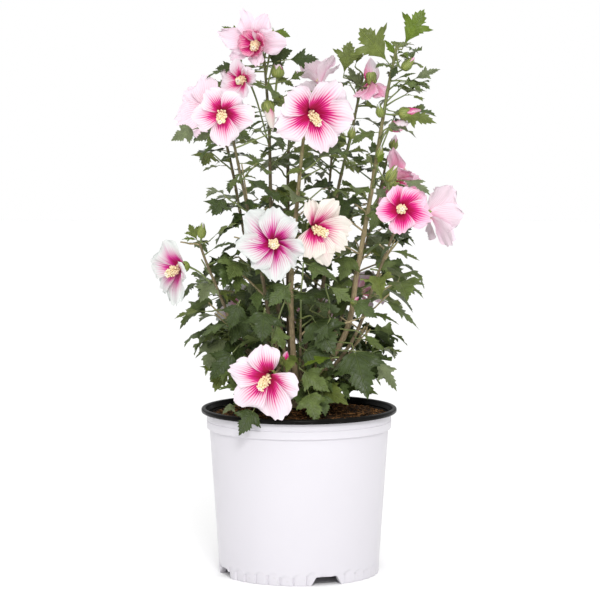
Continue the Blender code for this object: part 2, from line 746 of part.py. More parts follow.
def turned(name, profile, sides):
    """A closed profile of (radius, height) turned about the Z axis."""
    made = bmesh.new()
    ring = [made.verts.new((radius, 0.0, height)) for radius, height in profile]
    edges = [made.edges.new((a, b)) for a, b in zip(ring, ring[1:])]
    whole = 2 * math.pi
    geom = ring + edges
    bmesh.ops.spin(made, geom=geom, axis=(0, 0, 1), cent=(0, 0, 0), angle=whole, steps=sides, use_merge=True)
    bmesh.ops.remove_doubles(made, verts=made.verts, dist=WELD)
    bmesh.ops.dissolve_degenerate(made, edges=made.edges, dist=WELD)
    bmesh.ops.recalc_face_normals(made, faces=made.faces)
    mesh = bpy.data.meshes.new(name)
    made.to_mesh(mesh)
    made.free()
    return new_object(name, mesh)


# ---- Pot, lining and mix ------------------------------------------------------------------------------


def cavity_profile(depth, top):
    """The surface this deep under the pot's outer skin, from the axis outwards and up to the top."""
    return [
        (0.0, depth),
        (PAD_RADIUS - depth / 2, depth),
        (PAD_RADIUS + PAD_SLOPE - depth / 2, FLOOR_LIFT + depth),
        (FOOT_RADIUS - FOOT_CORNER - depth, FLOOR_LIFT + depth),
        (FOOT_RADIUS - depth, SKIRT_TOP + depth),
        (WALL_TOP_RADIUS - depth, STEP_HEIGHT + depth / 2),
        (BAND_RADIUS - depth, STEP_HEIGHT + STEP_RISE + depth / 2),
        (BAND_RADIUS - depth, top),
    ]


def shell_profile():
    outer = [
        (0.0, 0.0),
        (PAD_RADIUS, 0.0),
        (PAD_RADIUS + PAD_SLOPE, FLOOR_LIFT),
        (FOOT_RADIUS - FOOT_RING, FLOOR_LIFT),
        (FOOT_RADIUS - FOOT_RING + FOOT_CORNER, 0.0),
        (FOOT_RADIUS - EDGE, 0.0),
        (FOOT_RADIUS, EDGE),
        (FOOT_RADIUS + EDGE, SKIRT_TOP),
        (WALL_TOP_RADIUS, STEP_HEIGHT),
        (BAND_RADIUS - EDGE, STEP_HEIGHT + STEP_RISE - EDGE),
        (BAND_RADIUS, STEP_HEIGHT + STEP_RISE),
        (BAND_RADIUS, BAND_TOP),
    ]
    return outer + list(reversed(cavity_profile(SHELL_WALL, BAND_TOP)))


def lining_profile():
    """The black inner layer, with the rim that it rolls out over the band."""
    roll_low = RIM_HEIGHT - RIM_ROLL
    rim = [
        (BAND_RADIUS + 2 * GAP, BAND_TOP + 2 * GAP),
        (RIM_RADIUS - RIM_CORNER, roll_low),
        (RIM_RADIUS, roll_low + RIM_CORNER),
        (RIM_RADIUS, RIM_HEIGHT - RIM_CORNER),
        (RIM_RADIUS - RIM_CORNER, RIM_HEIGHT),
        (MOUTH_RADIUS + RIM_CORNER, RIM_HEIGHT),
        (MOUTH_RADIUS, RIM_HEIGHT - RIM_CORNER),
    ]
    inner = cavity_profile(SHELL_WALL + GAP + LINING_WALL, BAND_TOP - 2 * LINING_WALL)
    return cavity_profile(SHELL_WALL + GAP, BAND_TOP + GAP) + rim + list(reversed(inner))


def wedge(name, foot_width, top_width, height, near, far, turn):
    """A trapezoid cutter that runs outwards from near to far."""
    low = -CUT_OVERRUN
    low_width = top_width + (foot_width - top_width) * (height - low) / height
    corners = ((-low_width, low), (low_width, low), (top_width, height), (-top_width, height))
    points = [Vector((run, across / 2, level)) for run in (near, far) for across, level in corners]
    faces = [(0, 3, 2, 1), (4, 5, 6, 7), (0, 1, 5, 4), (1, 2, 6, 5), (2, 3, 7, 6), (3, 0, 4, 7)]
    obj = shape_object(name, (points, faces))
    obj.rotation_euler = (0.0, 0.0, turn)
    obj.hide_render = True
    obj.display_type = "WIRE"
    return obj


def flute_skirt(obj):
    """Presses shallow upright flutes into the foot of the wall."""
    for vertex in obj.data.vertices:
        radial = math.hypot(vertex.co.x, vertex.co.y)
        if vertex.co.z > EDGE + GAP or radial < FOOT_RADIUS - EDGE - GAP:
            continue
        turn = math.atan2(vertex.co.y, vertex.co.x)
        dip = FLUTE_DEPTH * max(0.0, math.cos(FLUTES * turn))
        vertex.co.x *= 1.0 - dip / radial
        vertex.co.y *= 1.0 - dip / radial


def make_pot():
    shell = turned("pot", shell_profile(), POT_SIDES)
    flute_skirt(shell)
    lining = turned("pot_lining", lining_profile(), POT_SIDES)
    bpy.context.view_layer.update()
    for notch in range(NOTCHES):
        turn = NOTCH_TURN + notch * 2 * math.pi / NOTCHES
        far = FOOT_RADIUS + CUT_OVERRUN
        near = FOOT_RADIUS - FOOT_RING - DRAIN_DEPTH
        gate = wedge("notch", NOTCH_FOOT_WIDTH, NOTCH_TOP_WIDTH, NOTCH_HEIGHT, near, far, turn)
        top = FLOOR_LIFT + CUT_OVERRUN
        drain = wedge("drain", DRAIN_WIDTH, DRAIN_WIDTH, top, near, near + DRAIN_DEPTH, turn)
        bpy.context.view_layer.update()
        cut(shell, gate)
        cut(shell, drain)
        cut(lining, drain)
        bpy.data.objects.remove(gate)
        bpy.data.objects.remove(drain)
    finish(shell, material("white_plastic", POT_WHITE, 0.35), smooth=30)
    finish(lining, material("black_plastic", POT_BLACK, 0.40), smooth=30)


def make_mix():
    """The potting mix: a plug that fills the lining, with a lumpy, slightly domed top."""
    depth = SHELL_WALL + LINING_WALL + 2 * GAP
    edge = BAND_RADIUS - depth
    profile = cavity_profile(depth, SOIL_EDGE)
    for share in SOIL_RINGS:
        climb = (1.0 - share) / (1.0 - SOIL_RINGS[-1])
        profile.append((share * edge, SOIL_EDGE + (SOIL_TOP - SOIL_EDGE) * climb))
    profile += [(STOOL_CLEARING, SOIL_TOP), (0.0, SOIL_TOP)]
    mix = turned("soil", profile, POT_SIDES)
    dice = random.Random("soil")
    for vertex in mix.data.vertices:
        radial = math.hypot(vertex.co.x, vertex.co.y)
        if STOOL_CLEARING + EDGE < radial < LUMPS_END * edge and vertex.co.z > SOIL_EDGE:
            vertex.co.z += dice.uniform(-SOIL_LUMP, SOIL_LUMP)
    finish(mix, material("potting_mix", MIX_BROWN, 0.95), smooth=50)


# ---- Plant --------------------------------------------------------------------------------------------


def stool_profile(extra):
    foot = SOIL_TOP + GAP
    rise = [(radius + extra, foot + height) for radius, height in STOOL]
    rise[0] = (rise[0][0], foot - extra)
    return [(0.0, foot - extra)] + rise + [(0.0, foot + STOOL_TOP + extra)]


def make_plant():
    bark = material("bark", BARK_TAN, 0.80)
    leaf = material("foliage", LEAF_GREEN, 0.55)
    trunk = turned("trunk", stool_profile(0.0), STOOL_SIDES)
    finish(trunk, bark, smooth=60)
    cutter = turned("trunk_clearance", stool_profile(GAP), STOOL_SIDES)
    cutter.hide_render = True
    cutter.display_type = "WIRE"

    room = Room()
    masses = []
    boughs = []
    for name, stem in STEMS.items():
        path, start = leader_of_stem(stem)
        share = start / path.length
        radius = stem.radius + (stem.tip_radius - stem.radius) * share
        shape = tube(path, taper(0.0, start, stem.radius, radius, LIMB_STEP), LIMB_SIDES)
        room.add("bough_" + name, shape)
        boughs.append((name, shape))
        masses.append(Mass("foliage_" + name, path, start + GAP, radius, stem.tip_radius, STEM_HABIT))
    for name, shoot in SHOOTS.items():
        path, start = leader_of_shoot(shoot)
        masses.append(Mass("foliage_" + name, path, start, SHOOT_RADIUS, TWIG_RADIUS, SHOOT_HABIT))

    for mass in masses:
        room.add(mass.name, mass.leader_shape())
    named = {mass.name[len("foliage_") :]: mass for mass in masses}
    for index, bloom in enumerate(BLOOMS):
        add_flower(named[bloom.mass], room, bloom, FLOWER_SPIN * index)
    for bud in BUDS:
        add_bud(named[bud.mass], room, bud)
    for blade in BLADES:
        add_blade(named[blade.mass], room, blade)
    for mass in masses:
        grow_mass(mass, masses, room)

    for name, shape in boughs:
        bough = shape_object("bough_" + name, shape)
        cut(bough, cutter)
        keep_main_shell(bough)
        finish(bough, bark, smooth=50)
    for mass in masses:
        obj = shape_object(mass.name, mass.leader_shape())
        if mass.start == 0.0:
            cut(obj, cutter)
            keep_main_shell(obj)
        parts = [shape_object(f"{mass.name}_{i}", shape) for i, shape in enumerate(mass.shapes)]
        fuse(obj, parts)
        finish(obj, leaf)
    bpy.data.objects.remove(cutter)


def main():
    clear_scene()
    make_pot()
    make_mix()
    make_plant()


if __name__ == "__main__":
    main()
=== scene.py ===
"""A flowering hibiscus shrub in its nursery pot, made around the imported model. Metres, +Z up, front towards -Y."""

import functools
import math
import random
from collections import namedtuple

import bmesh
import bpy
import numpy as np
from mathutils import Matrix, Vector, noise
from mathutils.bvhtree import BVHTree


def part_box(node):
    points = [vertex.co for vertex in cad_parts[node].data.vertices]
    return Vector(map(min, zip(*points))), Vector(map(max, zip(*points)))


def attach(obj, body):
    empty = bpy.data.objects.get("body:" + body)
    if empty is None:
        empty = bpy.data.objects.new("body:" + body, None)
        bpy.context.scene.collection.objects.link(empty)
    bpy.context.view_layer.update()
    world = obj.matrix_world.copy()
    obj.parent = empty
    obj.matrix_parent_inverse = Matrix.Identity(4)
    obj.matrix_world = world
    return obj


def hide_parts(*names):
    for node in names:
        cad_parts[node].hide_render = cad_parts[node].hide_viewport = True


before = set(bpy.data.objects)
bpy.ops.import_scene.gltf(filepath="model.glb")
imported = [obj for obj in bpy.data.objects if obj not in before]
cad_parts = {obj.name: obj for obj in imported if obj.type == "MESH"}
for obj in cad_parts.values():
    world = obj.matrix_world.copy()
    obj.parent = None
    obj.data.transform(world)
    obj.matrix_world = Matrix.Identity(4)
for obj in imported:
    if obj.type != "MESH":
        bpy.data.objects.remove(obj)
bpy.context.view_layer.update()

bl_info = {
    "name": "Potted Hibiscus",
    "version": (1, 0, 0),
    "blender": (4, 5, 0),
    "location": "3D View > Sidebar > Hibiscus",
    "description": "Makes a flowering hibiscus shrub in a nursery pot",
    "category": "Add Mesh",
}

BODY = "root"
MAP, BAKE_MAP = "pattern", "OFBake"
FOLIAGE_NODES = tuple(sorted(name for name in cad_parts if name.startswith("foliage_")))
WOOD_NODES = ("trunk", *sorted(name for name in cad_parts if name.startswith("bough_")))
GAP = 0.0003
WHOLE_TURN = 2 * math.pi
UPRIGHT = Vector((0, 0, 1))


def mm(x, y, z):
    """A place given in millimetres."""
    return Vector((x / 1000, y / 1000, z / 1000))


# ---- The plant's plan ----

MOUTH_RADIUS, RIM_HEIGHT, SOIL_TOP = 0.1335, 0.238, 0.2365

# Stool: the (radius, height) of the short woody stem that every limb leaves, and its top.
STOOL = ((0.0180, 0.0035), (0.0165, 0.010), (0.0160, 0.018), (0.0145, 0.026), (0.0105, 0.032))
STOOL_TOP = 0.0345
# How far inside the stool a limb starts, and how far under its foot.
HEART_INSET, HEART_DROP = 0.006, 0.010

# Limbs and twigs: how many sides, how far apart their rings, and how thick.
LIMB_SIDES, LIMB_STEP = 6, 0.030
LEADER_SIDES, LEADER_STEP = 5, 0.045
TWIG_SIDES, TWIG_RADIUS, TWIG_TIP_RADIUS = 3, 0.0014, 0.0011
TWIG_LENGTHS, TWIG_RISES = (0.028, 0.058), (12.0, 42.0)
TWIG_TURNS = (0.0, 0.6, -0.6, 1.3, -1.3)
TWIG_TIP_SHARE, TWIG_MIDDLE_SHARE = 0.98, 0.60
JOINT_OVERLAP = 0.002

# Open flower. Its rim, petal by petal, is (turn, share of its radius, share of its cup).
PETALS = 5
PETAL_RIM = ((-0.24, 1.0, 1.0), (0.24, 1.0, 1.0), (math.pi / PETALS, 0.62, 0.62))
PETAL_HALF_THICKNESS = 0.0009
FLOWER_SPIN = 0.4
COLUMN_SINK, COLUMN_REACH, COLUMN_RADII = 0.006, 0.56, (0.0028, 0.0042)
PEDICEL_RADIUS, PEDICEL_ARCH, NECK_RADIUS = 0.0016, 0.004, 0.0019
CALYX_LENGTH, CALYX_RADIUS = 0.019, 0.0064

# Bud: its sides, and how thick and how far up its widest ring is, for a length of 1.
BUD_SIDES, BUD_GIRTH, BUD_WIDEST = 5, 0.27, 0.42

# Leaf outline for a length of 1: (distance along, half width) of its lobes and notches, and its raised point.
LEAF_LOBE, LEAF_NOTCH, LEAF_MIDDLE = (0.50, 0.30), (0.66, 0.12), 0.48
LEAF_THICKNESS, LEAF_ROLL, LEAF_ROOT_SHARE = 0.0011, 0.6, 0.16
# Leaf length and the elevation that it points to, in degrees, by the height of its root.
LEAF_SIZES, SIZE_SPREAD = ((0.28, 0.40, 0.55, 0.75), (0.084, 0.070, 0.056, 0.046)), 0.15
LEAF_LEANS, LEAN_SPREAD = ((0.26, 0.32, 0.60, 0.78), (-4.0, -34.0, -16.0, 4.0)), 20.0
LEAF_TURNS, TURN_LIFT = (0.0, 0.5, -0.5, 1.1, -1.1, 1.8, -1.8, 2.6), 0.12
PAIR_TURNS = (-1.2, 1.2)
BLADE_NORMAL = Vector((0.0, -0.25, 1.0))

# The rule: leaves turn by this from node to node, keep this clear of what stands already, and may pass this far over
# the border with the next mass. Below the full height a side shoot bears a third leaf.
TURN = math.radians(137.5)
CLEARANCE, SHARED_BORDER = 0.0012, 0.016
FULL_FOLIAGE, FIRST_NODE = 0.45, 0.3
# How leaves stand on a leader: the stretch with none, the distance between nodes, and the share with a pair.
Habit = namedtuple("Habit", "bare spacing pairs")
STEM_HABIT, SHOOT_HABIT = Habit(0.0, 0.0275, 0.20), Habit(0.018, 0.012, 0.95)
# Finer growth: how far apart its nodes are on a leader, how long its leaves are for their height, and where they
# stand on a side twig.
FINE_SPACING, FINE_SIZES = 0.0150, (0.46, 0.78)
FINE_TWIG_SHARES, FINE_STRAY = (0.30, 0.58, 0.84), 0.08

# Height, furthest left, furthest right and half depth of the space that the seeded leaves fill.
CROWN = (
    (0.24, -0.118, 0.118, 0.12),
    (0.29, -0.14, 0.145, 0.15),
    (0.365, -0.18, 0.178, 0.175),
    (0.445, -0.15, 0.187, 0.175),
    (0.53, -0.135, 0.16, 0.18),
    (0.62, -0.165, 0.18, 0.185),
    (0.7, -0.118, 0.195, 0.16),
    (0.76, -0.095, 0.16, 0.1),
    (0.8, -0.05, 0.15, 0.06),
)
CROWN_OVER_MIX, CROWN_OVER_RIM, CROWN_IN_MOUTH = 0.010, 0.008, 0.012

Stem = namedtuple("Stem", "turn rise inset radius tip_radius bare way")
# Each stem: where its foot leaves the stool (turn in degrees, rise above the mix, inset from the axis), its radius at
# foot and tip, the height where it turns leafy, and the points that it passes through, in millimetres.
STEMS = {name: Stem(*sizes, [mm(*spot) for spot in way]) for name, (*sizes, way) in {
    "centre": (255, 0.026, 0.009, 0.0046, 0.0022, 0.345,
        ((-9, -22, 329), (-11, -40, 430), (-1, -52, 551), (8, -48, 640))),
    "tall": (3, 0.019, 0.013, 0.0047, 0.002, 0.4,
        ((67, -4, 346), (83, 0, 434), (101, 6, 534), (124, 18, 676), (140, 22, 755))),
    "right": (322, 0.014, 0.013, 0.003, 0.0017, 0.35,
        ((74, -35, 334), (105, -50, 417), (129, -60, 481), (141, -56, 520))),
    "left": (195, 0.017, 0.013, 0.003, 0.0017, 0.345,
        ((-88, -20, 343), (-106, -26, 387), (-131, -34, 448), (-141, -36, 478))),
    "front_left": (228, 0.016, 0.013, 0.0032, 0.0018, 0.35,
        ((-37, -35, 345), (-52, -55, 432), (-74, -78, 538), (-92, -84, 625))),
    "peak_left": (170, 0.026, 0.0095, 0.0034, 0.0018, 0.35,
        ((-26, 18, 346), (-39, 45, 474), (-43, 55, 633), (-50, 52, 735))),
    "back": (122, 0.026, 0.0095, 0.0032, 0.0018, 0.35,
        ((-15, 35, 345), (-16, 100, 508), (-14, 115, 617), (6, 105, 690))),
    "back_right": (78, 0.026, 0.0095, 0.0027, 0.0016, 0.35, ((13, 40, 344), (38, 110, 485), (49, 135, 602))),
    "high_right": (35, 0.026, 0.0095, 0.0032, 0.0018, 0.355,
        ((27, 26, 360), (52, 66, 524), (77, 83, 632), (93, 85, 712))),
    "far_left": (156, 0.016, 0.013, 0.003, 0.0017, 0.35,
        ((-52, 55, 343), (-80, 100, 478), (-104, 95, 603), (-125, 62, 655))),
    "far_right": (42, 0.015, 0.013, 0.003, 0.0016, 0.35,
        ((55, 50, 345), (96, 110, 456), (120, 135, 545), (130, 130, 590))),
}.items()}

# Low shoots. Each has the turn that it takes from the stool, how far out and how high its tip reaches.
SHOOT_RADIUS, SHOOT_RISE, SHOOT_HEART, SHOOT_ELBOW = 0.0023, 0.008, 0.010, (0.5, 0.34)
Shoot = namedtuple("Shoot", "turn reach height")
SHOOTS = {
    "low_front": Shoot(272, 0.07, 0.372),
    "low_front_right": Shoot(300, 0.086, 0.385),
    "low_right": Shoot(343, 0.104, 0.362),
    "low_back_right": Shoot(60, 0.1, 0.378),
    "low_back": Shoot(96, 0.1, 0.388),
    "low_back_left": Shoot(128, 0.102, 0.378),
    "low_left": Shoot(178, 0.104, 0.362),
    "low_front_left": Shoot(246, 0.092, 0.345),
}

Bloom = namedtuple("Bloom", "mass fraction eye facing radius cup")
# Each open flower: its mass, how far up the mass's leader it springs, its eye in millimetres, the way that it faces,
# its radius, and how deep its cup is for that radius.
BLOOMS = [Bloom(mass, fraction, mm(*eye), *rest) for mass, fraction, eye, *rest in (
    ("front_left", 1, (-106, -115, 654), (-0.1, -1, -0.2), 0.043, 0.3),
    ("centre", 1, (17, -85, 659), (0.18, -1, -0.22), 0.056, 0.28),
    ("centre", 0.05, (-35, -105, 480), (0, -1, -0.05), 0.052, 0.26),
    ("centre", 0.3, (21, -98, 500), (0.5, -1, -0.1), 0.049, 0.34),
    ("right", 1, (142, -86, 526), (0.05, -1, -0.05), 0.039, 0.34),
    ("low_front_left", 1, (-43, -138, 298), (-0.26, -1, -0.26), 0.052, 0.3),
    ("left", 0.4, (-170, -45, 441), (-0.85, -0.5, -0.1), 0.047, 0.38),
    ("peak_left", 1, (-61, 30, 756), (-0.05, -1, 0.22), 0.044, 0.62),
    ("peak_left", 0.66, (-80, 30, 705), (-0.6, -0.8, 0.1), 0.03, 0.8),
    ("far_left", 1, (-158, 30, 668), (-0.85, 0.1, 0.1), 0.041, 0.45),
    ("back", 1, (24, 102, 716), (0.1, -0.5, 0.85), 0.031, 0.7),
    ("tall", 0.3, (158, 28, 582), (0.75, 0.15, 0.6), 0.033, 0.85),
    ("right", 0.8, (190, -22, 518), (0.9, 0.1, -0.12), 0.045, 0.42),
    ("high_right", 0.88, (111, 60, 690), (0.35, -0.5, -0.75), 0.026, 0.95),
    ("low_back_right", 0.95, (92, 112, 394), (0.8, 0.7, 0.1), 0.04, 0.4),
    ("back", 0.9, (20, 160, 655), (0.1, 1, -0.1), 0.05, 0.3),
    ("far_left", 0.85, (-112, 130, 642), (-0.3, 1, -0.1), 0.044, 0.34),
    ("back", 0.18, (-34, 158, 468), (-0.15, 1, 0), 0.046, 0.3),
    ("far_right", 0.72, (148, 162, 532), (0.45, 1, 0.05), 0.042, 0.34),
    ("low_back", 1, (20, 148, 355), (0.1, 1, -0.05), 0.048, 0.3),
    ("low_back_left", 1, (-85, 120, 368), (-0.6, 0.9, 0), 0.042, 0.34),
)]

Bud = namedtuple("Bud", "mass fraction tip length")
# Each bud: its mass, how far up the leader it springs, its tip in millimetres and its length.
BUDS = [Bud(mass, fraction, mm(*tip), length) for mass, fraction, tip, length in (
    ("peak_left", 0.7, (-29, 50, 738), 0.03),
    ("peak_left", 0.93, (-38, 50, 780), 0.022),
    ("tall", 0.97, (162, 20, 728), 0.024),
    ("tall", 0.56, (150, 14, 634), 0.034),
    ("tall", 0.8, (108, 16, 690), 0.022),
    ("tall", 0.4, (116, -12, 612), 0.02),
    ("high_right", 0.95, (103, 76, 738), 0.03),
    ("high_right", 0.6, (78, 62, 640), 0.02),
    ("left", 0.97, (-136, -40, 505), 0.022),
    ("low_front_left", 0.55, (-18, -98, 340), 0.024),
    ("back_right", 0.9, (66, 146, 628), 0.022),
    ("far_right", 0.98, (142, 116, 625), 0.022),
)]

Blade = namedtuple("Blade", "mass fraction tip length lean")
# Each leaf that marks the outline: its mass, how far up the leader it springs, its tip in millimetres, its length
# and the elevation that it points to, in degrees.
BLADES = [Blade(mass, fraction, mm(*tip), *rest) for mass, fraction, tip, *rest in (
    ("tall", 1, (175, 18, 799), 0.06, 56),
    ("tall", 0.88, (86, 8, 765), 0.06, 40),
    ("tall", 0.76, (201, 18, 717), 0.048, 16),
    ("tall", 0.52, (197, 30, 652), 0.06, -5),
    ("high_right", 0.96, (40, 52, 750), 0.056, 46),
    ("peak_left", 0.88, (24, 14, 737), 0.064, -8),
    ("peak_left", 0.96, (-109, 40, 781), 0.046, 14),
    ("left", 0.96, (-219, -30, 484), 0.054, 8),
    ("left", 0.1, (-177, -42, 368), 0.056, -22),
    ("right", 0.1, (171, -60, 362), 0.062, -42),
    ("right", 0.5, (187, -50, 452), 0.06, -28),
    ("low_front_right", 0.8, (153, -62, 336), 0.066, -38),
    ("low_right", 0.96, (136, -46, 277), 0.072, -52),
    ("low_left", 0.9, (-132, -50, 288), 0.072, -48),
    ("low_front_left", 0.6, (-86, -150, 212), 0.066, -52),
    ("front_left", 0.98, (-176, -62, 624), 0.054, -14),
    ("front_left", 0.6, (-134, -90, 572), 0.058, -14),
)]

# ---- How the plant is dressed ----


def ring(count, width):
    """Petals set evenly round a flower: the turn, reach and width of each."""
    return [(360.0 * step / count, 100, width) for step in range(count)]


Dress = namedtuple("Dress", "palette petals ruffle inner column facing cup eye", defaults=(0, None, None, None, None))
# Each open flower in the order above: its palette, its petals (turn in degrees, reach and width in hundredths), how
# ruffled they are, how many small petals crowd its eye, and where its column, face, cup and eye differ from the plan.
DRESSES = [Dress(*row) for row in (
    ("blush", ((39, 98, 80), (94, 110, 84), (187, 112, 84), (253, 108, 95), (319, 94, 84)), 0.8, 0,
        (-0.14, -0.8, -0.48), None, None, (-104, -115, 660)),
    ("blush", ((47, 94, 90), (115, 106, 80), (195, 108, 78), (259, 108, 105), (325, 110, 102)), 1, 0,
        (0.42, -0.66, -0.58)),
    ("white", ((44, 112, 80), (99, 106, 78), (141, 92, 62), (183, 108, 76), (218, 92, 62), (249, 92, 62),
        (310, 94, 66), (358, 108, 78)), 1.2, 0, (0.02, -1, -0.05)),
    ("cream", ((14, 96, 52), (165, 92, 90), (202, 116, 58), (229, 110, 74), (266, 112, 92), (322, 114, 74)), 1.3, 0,
        (0.66, -0.72, -0.26), (0.3, -1, -0.1)),
    ("rose", ((11, 100, 84), (93, 96, 86), (185, 98, 90), (257, 120, 95), (314, 114, 95)), 0.9, 0,
        (0.02, -1, 0.04)),
    ("blush", ((6, 102, 80), (75, 116, 68), (133, 116, 84), (197, 124, 86), (252, 100, 90)), 0.8, 0,
        (-0.38, -0.72, -0.54)),
    ("white", ((20, 100, 84), (75, 90, 84), (140, 95, 84), (185, 122, 84), (265, 75, 75)), 0.9, 0,
        (-0.6, -0.75, -0.3), (-0.74, -0.72, -0.12)),
    ("pale", ((70, 136, 60), (22, 134, 44), (332, 120, 50), (268, 130, 62), (190, 84, 60), (125, 110, 52),
        (98, 92, 50), (300, 94, 50)), 1.8, 5, (-0.15, -1, -0.25), (-0.3, -1, 0.02), 0.46),
    ("blush", ((60, 130, 90), (120, 120, 90), (200, 110, 86), (290, 120, 90), (350, 135, 80)), 1.2, 0, None,
        (-0.4, -0.88, -0.1), 0.58),
    ("pale", ((60, 110, 90), (12, 120, 80), (116, 130, 90), (163, 130, 80), (240, 100, 90), (300, 100, 90)), 1, 0,
        None, (-0.4, -1, 0.05), 0.3, (-129, 30, 665)),
    ("pale", ((70, 155, 90), (20, 160, 74), (300, 160, 90), (250, 135, 86), (180, 130, 90)), 1.3, 0, None,
        (-0.16, 0.34, 0.92), 0.72, (31, 98, 700)),
    ("rose", ((10, 150, 74), (85, 100, 90), (160, 120, 90), (230, 145, 95), (300, 145, 86)), 1.2, 0, None,
        (0.62, 0.4, 0.6), 0.55, (140, 30, 564)),
    ("pale", ((30, 130, 92), (95, 115, 90), (160, 120, 90), (230, 120, 90), (310, 125, 90)), 1, 0, None,
        (0.8, 0.48, -0.06), 0.52, (186, -22, 515)),
    ("rose", ((40, 140, 90), (110, 130, 90), (180, 140, 90), (250, 130, 90), (320, 140, 90)), 1.2, 0, None,
        (0.1, 0.35, -0.93), 0.56, (105, 56, 699)),
    ("blush", ring(5, 90), 0.9),
    ("blush", ring(5, 90), 0.9),
    ("white", ring(5, 88), 1),
    ("blush", ring(5, 90), 0.8),
    ("rose", ring(6, 84), 1.1),
    ("blush", ring(5, 90), 0.8),
    ("white", ring(5, 88), 0.9),
)]

# How far each bud above has opened, the palette of the petals that show, and its base and tip where it is moved.
BUD_DRESSES = (
    (0.55, "blush"),
    (0, "white"),
    (0.1, "rose", (148.2, 20, 719.7), (164.7, 18, 736.7)),
    (0.95, "blush", (129, 16, 636), (157, 10, 644)),
    (0, "white", (116.9, 4, 652.8), (111.7, -4, 670.6)),
    (0, "white"),
    (0.9, "blush", (105, 62, 699), (103, 60, 737)),
    (0.1, "white"),
    (0, "white"),
    (0.42, "rose", (-22.1, -95, 310.4), (-16.6, -104, 329.8)),
    (0, "white"),
    (0.3, "blush"),
)
# Buds and faded flowers besides: the mass, base and tip of each, how far it has opened and its palette.
MORE_BUDS = (
    ("tall", (142.7, 10, 655.7), (174, 6, 662.1), 0.6, "rose"),
    ("peak_left", (-45.6, 10, 674.3), (-37, 0, 631.4), 0.8, "cream"),
    ("peak_left", (-86.5, 45, 727), (-96.6, 45, 745.8), 0.55, "pale"),
    ("right", (124, -60, 564), (137, -65, 586), 0, "pale"),
    ("right", (74.6, -40, 389.9), (84.3, -45, 400.2), 0.35, "rose"),
)


def outline(*pairs):
    return tuple((along / 1000, half / 1000) for along, half in pairs)


# Leaf outlines for a blade of length 1000: (distance along, half width) from stalk to tip.
BROAD = outline(
    (0, 10), (20, 100), (60, 220), (100, 260), (115, 235), (170, 330), (200, 310), (250, 400), (285, 370),
    (340, 455), (400, 475), (385, 380), (425, 370), (405, 270), (430, 200), (470, 170), (520, 215), (580, 255),
    (575, 200), (630, 215), (670, 225), (665, 165), (720, 165), (760, 165), (755, 110), (820, 105), (860, 95),
    (855, 55), (920, 45), (1000, 0),
)
NARROW = outline(
    (0, 10), (100, 50), (200, 130), (270, 200), (290, 170), (360, 255), (385, 220), (450, 310), (530, 355),
    (505, 250), (530, 230), (500, 145), (540, 110), (600, 150), (660, 175), (655, 125), (720, 140), (760, 145),
    (755, 90), (820, 90), (870, 85), (860, 45), (1000, 0),
)
WEDGE = outline(
    (0, 12), (120, 45), (250, 120), (360, 200), (385, 175), (450, 270), (480, 240), (550, 345), (660, 420),
    (635, 310), (680, 290), (645, 200), (600, 125), (670, 150), (730, 195), (725, 140), (790, 150), (830, 155),
    (825, 90), (890, 80), (925, 70), (920, 35), (1000, 0),
)
SMALL = outline(
    (0, 10), (120, 70), (240, 160), (330, 235), (345, 195), (420, 255), (500, 290), (485, 200), (540, 165),
    (600, 200), (660, 210), (650, 145), (720, 140), (780, 140), (770, 90), (840, 75), (1000, 0),
)
LEAF_CUTS_ACROSS, LEAF_CUTS_ALONG = (0.0, 0.11, -0.11), (0.17, 0.36, 0.55, 0.75)
STALK_SHARE, LOBE_DROOP = 0.17, 0.55

# Ways that a leaf's upper side faces.
FRONT, UP, TO_LEFT, TO_RIGHT, DOWN = map(Vector, (
    (0.0, -1.0, 0.25), (0.0, -0.35, 1.0), (-0.35, -1.0, 0.35), (0.35, -1.0, 0.35), (0.1, -1.0, -0.1)))
Sprig = namedtuple("Sprig", "mass root tip normal width tint outline")
